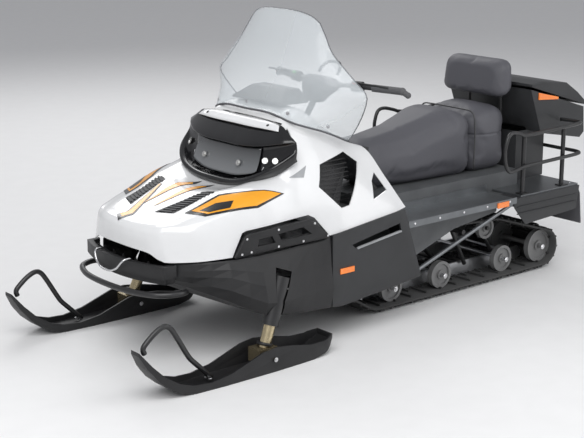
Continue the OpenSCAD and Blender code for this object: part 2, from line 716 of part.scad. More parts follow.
module spindle_left() { color([0.72, 0.64, 0.48]) left_side() spindle(); }
module spindle_right() { color([0.72, 0.64, 0.48]) right_side() spindle(); }
module ski_left() { color([0.08, 0.08, 0.09]) left_side() ski(); }
module ski_right() { color([0.08, 0.08, 0.09]) right_side() ski(); }
module ski_loop_left() { color([0.06, 0.06, 0.07]) left_side() ski_loop(); }
module ski_loop_right() { color([0.06, 0.06, 0.07]) right_side() ski_loop(); }

// ---------------------------------------------------------------- track and suspension

drive = [-640, 300];
idler = [-2110, idler_r + belt_stack];
carrier = [-1740, 262];
// Wheel circles that the inner face of the belt runs round
belt_circles = [[idler[0], idler[1], idler_r], [-960, 170, 170 - belt_stack],
                [drive[0], drive[1], 90], [carrier[0], carrier[1], 55]];
road_wheels_at = [[-1061, road_r + belt_stack], [-1393, road_r + belt_stack],
                  [-1834, road_r + belt_stack]];

module belt_lugs() {
  outer = belt_outline(belt_circles, belt_t - 1, 12);
  n = len(outer);
  lengths = [for (i = [0 : n - 1]) norm(outer[(i + 1) % n] - outer[i])];
  starts = [for (i = 0, s = 0; i < n; s = s + lengths[i], i = i + 1) s];
  total = starts[n - 1] + lengths[n - 1];
  count = floor(total / lug_pitch);
  for (k = [0 : count - 1]) {
    s = (k + 0.5) * total / count;
    i = max([for (j = [0 : n - 1]) if (starts[j] <= s) j]);
    d = (outer[(i + 1) % n] - outer[i]) / lengths[i];
    p = outer[i] + d * (s - starts[i]);
    translate(p) rotate(atan2(d[1], d[0])) translate([-5, -lug_h - 1]) square([10, lug_h + 2]);
  }
}

module track() {
  color([0.05, 0.05, 0.05])
    translate([0, track_w / 2, 0]) rotate([90, 0, 0]) linear_extrude(height = track_w) difference() {
      union() {
        polygon(belt_outline(belt_circles, belt_t, 12));
        belt_lugs();
      }
      polygon(belt_outline(belt_circles, 0, 12));
    }
}

module slide_rails() {
  color([0.75, 0.76, 0.78]) {
    both_sides() side_plate([[-2085, 70], [-2080, 46], [-2040, 32], [-1000, 32], [-930, 44],
                             [-850, 78], [-856, 92], [-940, 80], [-1000, 92], [-1500, 96],
                             [-2060, 100]], 150, 162);
    for (w = road_wheels_at) cross_bar(w[0], w[1], 10, -282, 282);
    cross_bar(idler[0] + 115, 80, 8, -155, 155);
  }
}

// Rubber-tyred wheel in the X-Z plane with a through bore, centred on y = 0
module wheel(r, w, hub_r, bore) {
  rotate([90, 0, 0]) rotate_extrude() polygon([
    [bore, -w / 2], [hub_r, -w / 2], [hub_r, -w / 5], [r - 16, -w / 5], [r - 14, -w / 2], [r, -w / 2],
    [r, w / 2], [r - 14, w / 2], [r - 16, w / 5], [hub_r, w / 5], [hub_r, w / 2], [bore, w / 2]]);
}

module road_wheels() {
  color([0.2, 0.2, 0.2]) both_sides() {
    for (w = road_wheels_at) translate([w[0], 245, w[1]]) wheel(road_r - 0.5, 28, 22, 10.4);
    translate([carrier[0], 215, carrier[1]]) wheel(54.5, 24, 20, 10.4);
  }
}

module idler_wheels() {
  color([0.2, 0.2, 0.2]) {
    for (y = [-245, 0, 245]) translate([idler[0], y, idler[1]]) wheel(idler_r - 1, 28, 26, 12.4);
    cross_bar(idler[0], idler[1], 12, -270, 270);
  }
}

module suspension_arms() {
  color([0.12, 0.12, 0.13]) both_sides() {
    bar([-1010, 178, 84], [-850, 236, 316], 11);
    bar([-1640, 178, 88], [-1492, 222, 300], 11);
    cross_bar(carrier[0], carrier[1], 10, 150, 240);
    bar([-1834, 176, 122], [-1752, 176, 244], 9);
  }
  color([0.12, 0.12, 0.13]) for (p = [[-820, 340], [-1476, 304]]) cross_bar(p[0], p[1], 12, -318, 318);
}

module shock_absorbers() {
  color([0.5, 0.5, 0.52]) for (p = [[-1180, 86, -880, 300], [-1600, 86, -1370, 300]]) {
    bar([p[0], 0, p[1]], [p[2], 0, p[3]], 12);
    bar([p[0], 0, p[1]] + 0.3 * [p[2] - p[0], 0, p[3] - p[1]], [p[2], 0, p[3]], 24);
    cross_bar(p[0], p[1], 9, -150, 150);
    cross_bar(p[2], p[3], 9, -150, 150);
  }
}

module drive_axle() {
  color([0.35, 0.35, 0.37]) {
    cross_bar(drive[0], drive[1], 16, -318, 318);
    for (y = [-170, 0, 170]) cross_bar(drive[0], drive[1], 88, y - 20, y + 20);
  }
}

// ---------------------------------------------------------------- output

placed() belly_pan();
placed() front_fascia();
placed() front_bumper();
placed() tow_handle();
placed() intake_panels();
placed() side_panels();
placed() engine_block();
placed() front_subframe();
placed() tunnel();
placed() {
  running_boards();
  board_braces();
}
placed() cargo_deck();
placed() rear_skirts();
placed() snow_flap();
placed() cargo_rack();
placed() tow_hitch();
placed() seat_front();
placed() seat_rear();
placed() backrest_pad();
placed() backrest_frame();
placed() cargo_box();
placed() {
  reflectors();
  tail_light();
}
placed() console();
placed() track();
placed() slide_rails();
placed() {  // track_wheels
  road_wheels();
  idler_wheels();
}
placed() {
  suspension_arms();
  shock_absorbers();
}
placed() drive_axle();
placed() cargo_box_lid();
placed() handlebar();
placed() grips();
placed() bar_controls();
placed() bar_pad();
placed() grab_strap();
placed() hood();
placed() headlight_pod();
placed() headlight_lens();
placed() hood_vents();
placed() dash_cowl();
placed() windshield();
placed() spindle_left();
placed() spindle_right();
placed() ski_left();
placed() ski_right();
placed() ski_loop_left();
placed() ski_loop_right();
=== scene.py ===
"""Looks of a two-seat utility snowmobile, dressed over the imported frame."""

import json
import logging
import math
from dataclasses import dataclass, field
from enum import Enum
from typing import Callable, Iterable, Optional, Sequence

import bmesh
import bpy
from bpy.types import Material, Node, NodeTree, Object
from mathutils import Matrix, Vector
from mathutils.bvhtree import BVHTree


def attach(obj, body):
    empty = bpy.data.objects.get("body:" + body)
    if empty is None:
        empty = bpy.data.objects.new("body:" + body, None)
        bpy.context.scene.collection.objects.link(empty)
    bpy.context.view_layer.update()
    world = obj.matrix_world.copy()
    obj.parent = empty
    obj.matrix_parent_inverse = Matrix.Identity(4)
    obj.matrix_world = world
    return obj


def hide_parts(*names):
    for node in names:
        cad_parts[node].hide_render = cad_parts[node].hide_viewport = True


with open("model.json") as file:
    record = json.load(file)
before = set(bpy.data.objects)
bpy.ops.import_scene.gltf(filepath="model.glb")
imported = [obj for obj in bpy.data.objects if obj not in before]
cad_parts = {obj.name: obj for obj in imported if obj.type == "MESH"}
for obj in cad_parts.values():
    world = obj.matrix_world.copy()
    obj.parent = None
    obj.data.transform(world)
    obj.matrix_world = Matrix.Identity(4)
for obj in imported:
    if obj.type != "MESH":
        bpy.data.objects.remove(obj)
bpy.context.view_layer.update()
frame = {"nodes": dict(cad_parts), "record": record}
log = logging.getLogger("snowmobile")

DATUM = 0.941
Point = tuple[float, float, float]
Net = list[list[Vector]]
Outline = Sequence[tuple[float, float]]
Cutter = tuple[Outline, float, float]


# ---------------------------------------------------------------- geometry helpers

def at(x: float, y: float, z: float) -> Vector:
    """A place in millimetres from the builder's datum, as metres in the frame."""
    return Vector((x / 1000.0 + DATUM, y / 1000.0, z / 1000.0))


def spline(p0: Vector, p1: Vector, p2: Vector, p3: Vector, t: float) -> Vector:
    """Catmull-Rom point between p1 and p2."""
    return 0.5 * (2 * p1 + (p2 - p0) * t + (2 * p0 - 5 * p1 + 4 * p2 - p3) * t * t
                  + (3 * p1 - p0 - 3 * p2 + p3) * t * t * t)


def smooth_row(row: Sequence[Vector], n: int, closed: bool = False) -> list[Vector]:
    """Refines a row of points.

    Args:
        row: the points to pass through.
        n: new points for each span.
        closed: whether the row is a ring.

    Returns:
        The refined row.
    """
    out: list[Vector] = []
    last = len(row) - 1
    if closed:
        m = len(row)
        for i in range(m):
            near, far = row[(i + 1) % m], row[(i + 2) % m]
            out += [spline(row[i - 1], row[i], near, far, k / n) for k in range(n)]
        return out
    for i in range(last):
        p0 = row[i - 1] if i else 2 * row[0] - row[1]
        p3 = row[i + 2] if i < last - 1 else 2 * row[last] - row[last - 1]
        out += [spline(p0, row[i], row[i + 1], p3, k / n) for k in range(n)]
    return out + [row[last]]


def smooth_net(half: Sequence[Sequence[Point]], n: int, m: int) -> Net:
    """Mirrors a half net about the middle plane and refines it.

    Args:
        half: rows of places in millimetres, from the middle out.
        n: steps for each span along a row.
        m: steps for each span between rows.

    Returns:
        The whole net in metres.
    """
    rows: Net = []
    for row in half:
        left = [at(*p) for p in row]
        right = [Vector((v.x, -v.y, v.z)) for v in reversed(left[1:])]
        rows.append(smooth_row(right + left, n))
    columns = [smooth_row([row[j] for row in rows], m) for j in range(len(rows[0]))]
    return [[col[i] for col in columns] for i in range(len(columns[0]))]


def show(obj: Object) -> Object:
    """Puts a new object into the scene."""
    bpy.context.scene.collection.objects.link(obj)
    return obj


def mirrored(half: Sequence[Point]) -> list[Point]:
    """A path made whole by its mirror image, from the far side to the near one.

    Args:
        half: the near half, from the middle out; its first place may lie on the middle.

    Returns:
        The whole path.
    """
    far = [(x, -y, z) for x, y, z in reversed(half)]
    return (far[:-1] if half[0][1] == 0 else far) + list(half)


def make_object(name: str, verts: Iterable[Vector], faces: Iterable[Sequence[int]], finish: "Finish",
                smooth: bool = True) -> Object:
    """Makes a mesh object with one finish, its faces turned outwards.

    Args:
        name: the object's name.
        verts: its points.
        faces: its faces, as indices.
        finish: what it is dressed in.
        smooth: whether it is smooth shaded.

    Returns:
        The new object, linked to the scene.
    """
    mesh = bpy.data.meshes.new(name)
    mesh.from_pydata([tuple(v) for v in verts], [], [tuple(f) for f in faces])
    bm = bmesh.new()
    bm.from_mesh(mesh)
    bmesh.ops.remove_doubles(bm, verts=bm.verts, dist=1e-6)
    bmesh.ops.recalc_face_normals(bm, faces=bm.faces)
    bm.to_mesh(mesh)
    bm.free()
    for poly in mesh.polygons:
        poly.use_smooth = smooth
    mesh.materials.append(finish.material())
    obj = bpy.data.objects.new(name, mesh)
    return show(obj)


def net_object(name: str, net: Net, finish: "Finish", thickness: float = 0.0,
               offset: float = -1.0) -> Object:
    """Makes a sheet from a net, with a wall when a thickness is given."""
    cols = len(net[0])
    verts = [v for row in net for v in row]
    faces = [(i * cols + j, i * cols + j + 1, (i + 1) * cols + j + 1, (i + 1) * cols + j)
             for i in range(len(net) - 1) for j in range(cols - 1)]
    obj = make_object(name, verts, faces, finish)
    if thickness:
        wall = obj.modifiers.new("wall", "SOLIDIFY")
        wall.thickness = thickness
        wall.offset = offset
        bake(obj)
    return obj


def bake(obj: Object) -> None:
    """Applies all of an object's modifiers to its mesh."""
    deps = bpy.context.evaluated_depsgraph_get()
    mesh = bpy.data.meshes.new_from_object(obj.evaluated_get(deps))
    obj.modifiers.clear()
    obj.data = mesh


def sweep(name: str, places: Sequence[Point], radius: float, finish: "Finish", steps: int = 5,
          sides: int = 16, closed: bool = False, metres: bool = False) -> Object:
    """Sweeps a round tube along a smooth path.

    Args:
        name: the tube's name.
        places: places in millimetres that it passes through.
        radius: its radius in millimetres.
        finish: what it is dressed in.
        steps: new points for each span.
        sides: points round the tube.
        closed: whether the path is a ring.
        metres: whether the places are already points in metres.

    Returns:
        The tube.
    """
    points = [Vector(p) if metres else at(*p) for p in places]
    path = smooth_row(points, steps, closed)
    n = len(path)
    r = radius / 1000.0
    up: Optional[Vector] = None
    verts: list[Vector] = []
    for i, p in enumerate(path):
        if closed:
            t = (path[(i + 1) % n] - path[i - 1]).normalized()
        else:
            t = (path[min(i + 1, n - 1)] - path[max(i - 1, 0)]).normalized()
        guide = up if up is not None else Vector((0.31, 0.17, 0.93)).cross(t)
        up = (guide - guide.dot(t) * t).normalized()
        side = t.cross(up)
        verts += [p + r * (math.cos(a) * up + math.sin(a) * side)
                  for a in (2 * math.pi * k / sides for k in range(sides))]
    faces: list[tuple[int, ...]] = []
    for i in range(n if closed else n - 1):
        for k in range(sides):
            a, b = i * sides + k, i * sides + (k + 1) % sides
            c, d = (a + sides) % (n * sides), (b + sides) % (n * sides)
            faces.append((a, b, d, c))
    if not closed:
        faces += [tuple(range(sides)), tuple(range((n - 1) * sides, n * sides))]
    return make_object(name, verts, faces, finish)


def prism(name: str, outline: Outline, y0: float, y1: float,
          finish: "Finish", rounding: float = 0.0, steps: int = 3) -> Object:
    """Extrudes a side outline (x, z in millimetres) from y0 to y1, with rounded edges."""
    n = len(outline)
    verts = [at(x, y0, z) for x, z in outline] + [at(x, y1, z) for x, z in outline]
    faces: list[tuple[int, ...]] = [tuple(range(n)), tuple(range(n, 2 * n))]
    faces += [(i, (i + 1) % n, n + (i + 1) % n, n + i) for i in range(n)]
    obj = make_object(name, verts, faces, finish, smooth=rounding > 0)
    if rounding:
        soften(obj, rounding, steps)
    return obj


def soften(obj: Object, width: float, steps: int = 2, angle: float = 28.0) -> None:
    """Rounds the sharp edges of a closed mesh by a width in millimetres and bakes it."""
    bevel = obj.modifiers.new("round", "BEVEL")
    bevel.width = width / 1000.0
    bevel.segments = steps
    bevel.limit_method = "ANGLE"
    bevel.angle_limit = math.radians(angle)
    bevel.harden_normals = True
    bake(obj)


def rounded_copy(node: str, finish: "Finish", width: float, steps: int = 2) -> Object:
    """Makes a rounded-edge piece that stands for a CAD node.

    Args:
        node: the CAD node to stand for.
        finish: what it is dressed in.
        width: how far its edges are rounded, in millimetres.
        steps: facets of each rounding.

    Returns:
        The new piece, riding on the node's body.
    """
    source = frame["nodes"][node]
    mesh = source.data.copy()
    mesh.transform(source.matrix_world)
    bm = bmesh.new()
    bm.from_mesh(mesh)
    bmesh.ops.remove_doubles(bm, verts=bm.verts, dist=2e-5)
    bmesh.ops.dissolve_limit(bm, angle_limit=math.radians(1.5), verts=bm.verts, edges=bm.edges)
    bmesh.ops.recalc_face_normals(bm, faces=bm.faces)
    bm.to_mesh(mesh)
    bm.free()
    mesh.materials.clear()
    mesh.materials.append(finish.material())
    for poly in mesh.polygons:
        poly.use_smooth = True
        poly.material_index = 0
    obj = bpy.data.objects.new(node + "_moulded", mesh)
    show(obj)
    soften(obj, width, steps)
    seat_on(obj, body_of(node), node)
    return obj


def body_of(node: str) -> str:
    """Name of the body that holds a CAD node."""
    for name, nodes in frame["record"]["behaviour"]["bodies"].items():
        if node in nodes:
            return name
    raise KeyError(node)


def seat_on(obj: Object, body: str, *nodes: str) -> Object:
    """Lets a piece ride on a body, hides the nodes it stands for, and reports it."""
    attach(obj, body)
    if nodes:
        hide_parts(*nodes)
    log.info("%s rides on %s", obj.name, body)
    return obj


def cut(obj: Object, outlines: Sequence[Cutter]) -> None:
    """Cuts side-outline prisms out of a closed mesh."""
    tools = []
    for k, (outline, y0, y1) in enumerate(outlines):
        tool = prism(f"cutter_{k}", outline, y0, y1, WHITE)
        mod = obj.modifiers.new(f"cut_{k}", "BOOLEAN")
        mod.operation = "DIFFERENCE"
        mod.solver = "EXACT"
        mod.object = tool
        tools.append(tool)
    bake(obj)
    for tool in tools:
        bpy.data.objects.remove(tool, do_unlink=True)


def surface_of(obj: Object) -> BVHTree:
    """A search tree over an object's baked mesh."""
    mesh = obj.data
    corners = [v.co.copy() for v in mesh.vertices]
    return BVHTree.FromPolygons(corners, [tuple(p.vertices) for p in mesh.polygons])


def decal(name: str, skin: BVHTree, outline: Sequence[Vector], aim: Vector, finish: "Finish",
          lift: float = 0.7, grid: float = 0.008) -> Object:
    """Lays a thin patch on a surface.

    Args:
        name: the patch's name.
        skin: the surface to lie on.
        outline: its corners, in metres, near the surface.
        aim: the direction in which it is pressed on.
        finish: what it is dressed in.
        lift: how far it stands off, in millimetres.
        grid: the spacing of its inner points, in metres.

    Returns:
        The patch.
    """
    bm = bmesh.new()
    ring = [bm.verts.new(p) for p in outline]
    bm.faces.new(ring)
    bmesh.ops.triangulate(bm, faces=bm.faces)
    for _ in range(5):
        long = [e for e in bm.edges if e.calc_length() > grid]
        if not long:
            break
        bmesh.ops.subdivide_edges(bm, edges=long, cuts=1, use_grid_fill=False)
        bmesh.ops.triangulate(bm, faces=[f for f in bm.faces if len(f.verts) > 3])
    back = aim.normalized()
    for v in bm.verts:
        hit, normal, _, _ = skin.ray_cast(v.co - back * 0.5, back)
        if hit is None:
            hit, normal, _, _ = skin.find_nearest(v.co)
        if hit is not None:
            v.co = hit + (normal if normal.dot(back) < 0 else -normal) * lift / 1000.0
    bmesh.ops.recalc_face_normals(bm, faces=bm.faces)
    if sum((f.normal.dot(back) for f in bm.faces), 0.0) > 0:
        bmesh.ops.reverse_faces(bm, faces=bm.faces)
    mesh = bpy.data.meshes.new(name)
    bm.to_mesh(mesh)
    bm.free()
    for poly in mesh.polygons:
        poly.use_smooth = True
    mesh.materials.append(finish.material())
    obj = bpy.data.objects.new(name, mesh)
    return show(obj)


# ---------------------------------------------------------------- finishes

class Grain(Enum):
    """How a finish's fine relief is made."""

    SMOOTH = "smooth"
    STIPPLE = "stipple"
    LEATHER = "leather"
    BRUSHED = "brushed"
    RUBBER = "rubber"
    HATCH = "hatch"
    FADE = "fade"


# Heights, in metres, between which a fading finish darkens
FADE_LOW = 0.72
FADE_HIGH = 0.86


@dataclass(frozen=True)
class Finish:
    """One surface finish, with its colour, gloss and relief."""

    name: str
    color: tuple[float, float, float]
    roughness: float = 0.5
    metallic: float = 0.0
    grain: Grain = Grain.STIPPLE
    scale: float = 400.0
    relief: float = 0.1
    variation: float = 0.12
    coat: float = 0.0
    sheen: float = 0.0
    alpha: float = 1.0
    transmission: float = 0.0
    glow: float = 0.0

    def material(self) -> Material:
        """The finish's material, made on first use."""
        known = bpy.data.materials.get(self.name)
        return known if known else self._build()

    def _build(self) -> Material:
        """Builds the node tree of the finish."""
        mat = bpy.data.materials.new(self.name)
        mat.use_nodes = True
        tree = mat.node_tree
        shader = tree.nodes["Principled BSDF"]
        shader.inputs["Metallic"].default_value = self.metallic
        shader.inputs["Coat Weight"].default_value = self.coat
        shader.inputs["Coat Roughness"].default_value = 0.04
        shader.inputs["Sheen Weight"].default_value = self.sheen
        shader.inputs["Alpha"].default_value = self.alpha
        shader.inputs["Transmission Weight"].default_value = self.transmission
        if self.glow:
            shader.inputs["Emission Color"].default_value = (*self.color, 1.0)
            shader.inputs["Emission Strength"].default_value = self.glow
        coords = tree.nodes.new("ShaderNodeTexCoord")
        wide = self._noise(tree, coords, 9.0, 4.0)
        self._tint(tree, shader, wide, coords)
        self._gloss(tree, shader, wide)
        self._relief(tree, shader, coords)
        return mat

    def _noise(self, tree: NodeTree, coords: Node, scale: float,
               detail: float, stretch: Point = (1.0, 1.0, 1.0)) -> Node:
        """A noise texture on object coordinates."""
        mapping = tree.nodes.new("ShaderNodeMapping")
        mapping.inputs["Scale"].default_value = stretch
        tree.links.new(coords.outputs["Object"], mapping.inputs["Vector"])
        noise = tree.nodes.new("ShaderNodeTexNoise")
        noise.inputs["Scale"].default_value = scale
        noise.inputs["Detail"].default_value = detail
        tree.links.new(mapping.outputs["Vector"], noise.inputs["Vector"])
        return noise

    def _tint(self, tree: NodeTree, shader: Node, wide: Node,
              coords: Node) -> None:
        """Colour with slight variation over the surface."""
        ramp = tree.nodes.new("ShaderNodeValToRGB")
        low = tuple(max(0.0, c * (1 - self.variation)) for c in self.color)
        high = tuple(min(1.0, c * (1 + self.variation) + 0.004) for c in self.color)
        ramp.color_ramp.elements[0].position = 0.3
        ramp.color_ramp.elements[1].position = 0.7
        ramp.color_ramp.elements[0].color = (*low, 1.0)
        ramp.color_ramp.elements[1].color = (*high, 1.0)
        source = wide.outputs["Fac"]
        if self.grain is Grain.FADE:
            split = tree.nodes.new("ShaderNodeSeparateXYZ")
            tree.links.new(coords.outputs["Object"], split.inputs["Vector"])
            span = tree.nodes.new("ShaderNodeMapRange")
            span.inputs["From Min"].default_value = FADE_LOW
            span.inputs["From Max"].default_value = FADE_HIGH
            tree.links.new(split.outputs["Z"], span.inputs["Value"])
            source = span.outputs["Result"]
            ramp.color_ramp.elements[0].position = 0.0
            ramp.color_ramp.elements[1].position = 1.0
            ramp.color_ramp.elements[0].color = (0.2, 0.21, 0.22, 1.0)
            ramp.color_ramp.elements[1].color = (0.02, 0.021, 0.023, 1.0)
        tree.links.new(source, ramp.inputs["Fac"])
        tree.links.new(ramp.outputs["Color"], shader.inputs["Base Color"])

    def _gloss(self, tree: NodeTree, shader: Node, wide: Node) -> None:
        """Roughness that drifts a little, as handling and snow leave it."""
        span = tree.nodes.new("ShaderNodeMapRange")
        span.inputs["To Min"].default_value = max(0.02, self.roughness * 0.82)
        span.inputs["To Max"].default_value = min(1.0, self.roughness * 1.18)
        tree.links.new(wide.outputs["Fac"], span.inputs["Value"])
        tree.links.new(span.outputs["Result"], shader.inputs["Roughness"])

    def _relief(self, tree: NodeTree, shader: Node, coords: Node) -> None:
        """Fine surface relief as a bump."""
        if self.grain in (Grain.LEATHER, Grain.RUBBER):
            fine = tree.nodes.new("ShaderNodeTexVoronoi")
            fine.inputs["Scale"].default_value = self.scale
            fine.feature = "SMOOTH_F1"
            tree.links.new(coords.outputs["Object"], fine.inputs["Vector"])
            height = fine.outputs["Distance"]
        elif self.grain is Grain.BRUSHED:
            height = self._noise(tree, coords, self.scale, 3.0, (0.06, 1.0, 1.0)).outputs["Fac"]
        elif self.grain is Grain.HATCH:
            fine = tree.nodes.new("ShaderNodeTexChecker")
            fine.inputs["Scale"].default_value = self.scale
            tree.links.new(coords.outputs["Object"], fine.inputs["Vector"])
            height = fine.outputs["Fac"]
        else:
            height = self._noise(tree, coords, self.scale, 2.0).outputs["Fac"]
        bump = tree.nodes.new("ShaderNodeBump")
        bump.inputs["Strength"].default_value = self.relief
        bump.inputs["Distance"].default_value = 0.0006
        tree.links.new(height, bump.inputs["Height"])
        tree.links.new(bump.outputs["Normal"], shader.inputs["Normal"])


WHITE = Finish("white_bodywork", (0.74, 0.745, 0.75), 0.16, coat=0.6, grain=Grain.SMOOTH, scale=30.0,
               relief=0.02, variation=0.015)
ORANGE = Finish("orange_film", (0.85, 0.36, 0.015), 0.25, coat=0.4, scale=60.0, relief=0.03, variation=0.06)
BLACK_FILM = Finish("black_film", (0.012, 0.012, 0.013), 0.25, coat=0.4, scale=60.0, relief=0.03)
GREY_FILM = Finish("grey_film", (0.3, 0.31, 0.32), 0.3, coat=0.3, scale=60.0, relief=0.03)
BLACK_MOULD = Finish("black_moulded_plastic", (0.01, 0.01, 0.011), 0.5, scale=900.0, relief=0.25)
GREY_MOULD = Finish("grey_moulded_plastic", (0.026, 0.027, 0.029), 0.52, scale=850.0, relief=0.28)
PIANO = Finish("gloss_black_plastic", (0.004, 0.004, 0.005), 0.16, coat=0.3, grain=Grain.SMOOTH, scale=40.0,
               relief=0.02)
TUBE = Finish("black_powder_coat", (0.015, 0.015, 0.016), 0.38, coat=0.15, scale=1200.0, relief=0.2)
TUNNEL = Finish("dark_grey_paint", (0.11, 0.115, 0.12), 0.42, metallic=0.2, scale=700.0, relief=0.15)
BOARD = Finish("anodised_boards", (0.2, 0.21, 0.22), 0.38, metallic=0.85, grain=Grain.BRUSHED, scale=600.0,
               relief=0.15)
RAIL = Finish("brushed_rail", (0.66, 0.67, 0.69), 0.3, metallic=0.95, grain=Grain.BRUSHED, scale=700.0,
              relief=0.2)
STEEL = Finish("bright_steel", (0.7, 0.7, 0.71), 0.22, metallic=1.0, scale=500.0, relief=0.06)
GOLD = Finish("champagne_strut", (0.62, 0.52, 0.33), 0.24, metallic=0.9, grain=Grain.BRUSHED, scale=500.0,
              relief=0.08)
CAST = Finish("cast_engine", (0.32, 0.32, 0.33), 0.55, metallic=0.7, scale=300.0, relief=0.6)
VINYL = Finish("seat_vinyl", (0.008, 0.008, 0.009), 0.4, grain=Grain.LEATHER, scale=520.0, relief=0.5,
               sheen=0.02)
PIPING = Finish("seat_piping", (0.05, 0.05, 0.052), 0.4, grain=Grain.RUBBER, scale=900.0, relief=0.3)
RUBBER = Finish("belt_rubber", (0.016, 0.016, 0.016), 0.7, grain=Grain.RUBBER, scale=260.0, relief=0.5,
                variation=0.3)
SOFT = Finish("soft_rubber", (0.02, 0.02, 0.021), 0.62, grain=Grain.RUBBER, scale=700.0, relief=0.4)
GRIP = Finish("grip_rubber", (0.09, 0.09, 0.095), 0.6, grain=Grain.HATCH, scale=320.0, relief=0.7)
WHEEL = Finish("wheel_plastic", (0.05, 0.05, 0.052), 0.45, scale=500.0, relief=0.15)
SCREEN = Finish("clear_screen", (0.34, 0.37, 0.39), 0.03, alpha=0.16, coat=0.3, grain=Grain.SMOOTH, scale=15.0,
                relief=0.02, variation=0.02)
LENS = Finish("smoked_lens", (0.09, 0.09, 0.1), 0.06, coat=1.0, grain=Grain.FADE, scale=50.0, relief=0.02)
LAMP = Finish("lamp_bowl", (0.55, 0.55, 0.54), 0.15, metallic=0.7, grain=Grain.HATCH, scale=220.0, relief=0.3,
              glow=0.05)
# The amber reflectors are no lamp: their glow is painted light, an emission in their own colour.
AMBER = Finish("amber_reflector", (0.95, 0.22, 0.02), 0.15, coat=0.8, grain=Grain.HATCH, scale=500.0,
               relief=0.5, glow=0.08)
RED = Finish("red_reflector", (0.6, 0.01, 0.01), 0.15, coat=0.8, grain=Grain.HATCH, scale=500.0, relief=0.5)
GREEN = Finish("green_button", (0.05, 0.45, 0.08), 0.35, scale=300.0, relief=0.05)
MESH = Finish("vent_mesh", (0.03, 0.03, 0.032), 0.45, grain=Grain.HATCH, scale=130.0, relief=1.0)
FLOOR = Finish("studio_floor", (0.8, 0.8, 0.8), 0.9, scale=20.0, relief=0.0, variation=0.01)


# ---------------------------------------------------------------- repeated small things

class Shape(Enum):
    """The small shape that a tree of nodes repeats."""

    BOLT = "bolt"
    BLOCK = "block"


@dataclass
class Repeated:
    """Places one small shape at many points with Geometry Nodes."""

    name: str
    shape: Shape
    size: Point
    finish: Finish
    body: str
    places: list[tuple[Vector, Vector, Vector]] = field(default_factory=list)

    def add(self, place: Vector, normal: Sequence[float], along: Sequence[float] = (1.0, 0.0, 0.0)) -> None:
        """Adds one place with its outward and its lengthwise direction."""
        self.places.append((place, Vector(normal).normalized(), Vector(along).normalized()))

    def tree(self) -> NodeTree:
        """The node tree, with Size and Sides as inputs."""
        tree = bpy.data.node_groups.new(self.name + "_nodes", "GeometryNodeTree")
        face = tree.interface
        face.new_socket("Geometry", in_out="INPUT", socket_type="NodeSocketGeometry")
        face.new_socket("Size", in_out="INPUT", socket_type="NodeSocketVector")
        face.new_socket("Sides", in_out="INPUT", socket_type="NodeSocketInt")
        face.new_socket("Geometry", in_out="OUTPUT", socket_type="NodeSocketGeometry")
        new, link = tree.nodes.new, tree.links.new
        inside, out = new("NodeGroupInput"), new("NodeGroupOutput")
        spread = new("GeometryNodeInstanceOnPoints")
        if self.shape is Shape.BLOCK:
            unit = new("GeometryNodeMeshCube")
            link(inside.outputs["Size"], unit.inputs["Size"])
            piece = unit.outputs["Mesh"]
        else:
            washer, head = new("GeometryNodeMeshCylinder"), new("GeometryNodeMeshCylinder")
            head.inputs["Vertices"].default_value = 6
            link(inside.outputs["Sides"], washer.inputs["Vertices"])
            split = new("ShaderNodeSeparateXYZ")
            link(inside.outputs["Size"], split.inputs["Vector"])
            link(split.outputs["X"], washer.inputs["Radius"])
            link(split.outputs["Z"], washer.inputs["Depth"])
            link(split.outputs["Y"], head.inputs["Radius"])
            double = new("ShaderNodeMath")
            double.operation = "MULTIPLY"
            double.inputs[1].default_value = 2.2
            link(split.outputs["Z"], double.inputs[0])
            link(double.outputs[0], head.inputs["Depth"])
            join = new("GeometryNodeJoinGeometry")
            link(washer.outputs["Mesh"], join.inputs[0])
            link(head.outputs["Mesh"], join.inputs[0])
            piece = join.outputs[0]
        link(piece, spread.inputs["Instance"])
        link(inside.outputs["Geometry"], spread.inputs["Points"])
        turn: Optional[Node] = None
        for axis, attribute in (("Z", "outward"), ("X", "along")):
            read = new("GeometryNodeInputNamedAttribute")
            read.data_type = "FLOAT_VECTOR"
            read.inputs["Name"].default_value = attribute
            align = new("FunctionNodeAlignRotationToVector")
            align.axis = axis
            if turn is not None:
                align.pivot_axis = "Z"
                link(turn.outputs[0], align.inputs["Rotation"])
            link(read.outputs["Attribute"], align.inputs["Vector"])
            turn = align
        link(turn.outputs[0], spread.inputs["Rotation"])
        real, dress = new("GeometryNodeRealizeInstances"), new("GeometryNodeSetMaterial")
        dress.inputs["Material"].default_value = self.finish.material()
        link(spread.outputs["Instances"], real.inputs["Geometry"])
        link(real.outputs["Geometry"], dress.inputs["Geometry"])
        link(dress.outputs["Geometry"], out.inputs["Geometry"])
        return tree

    def build(self) -> Object:
        """Makes the piece as one plain mesh riding on its body."""
        base = bpy.data.meshes.new(self.name + "_points")
        base.from_pydata([tuple(p[0]) for p in self.places], [], [])
        for index, attribute in ((1, "outward"), (2, "along")):
            layer = base.attributes.new(attribute, "FLOAT_VECTOR", "POINT")
            for i, place in enumerate(self.places):
                layer.data[i].vector = place[index]
        obj = bpy.data.objects.new(self.name, base)
        show(obj)
        tree = self.tree()
        mod = obj.modifiers.new("repeat", "NODES")
        mod.node_group = tree
        for item in tree.interface.items_tree:
            if item.in_out == "INPUT" and item.name == "Size":
                mod[item.identifier] = tuple(v / 1000.0 for v in self.size)
            if item.in_out == "INPUT" and item.name == "Sides":
                mod[item.identifier] = 14
        bake(obj)
        for attribute in ("outward", "along"):
            layer = obj.data.attributes.get(attribute)
            if layer:
                obj.data.attributes.remove(layer)
        if not obj.data.materials:
            obj.data.materials.append(self.finish.material())
        return seat_on(obj, self.body)


# ---------------------------------------------------------------- front body

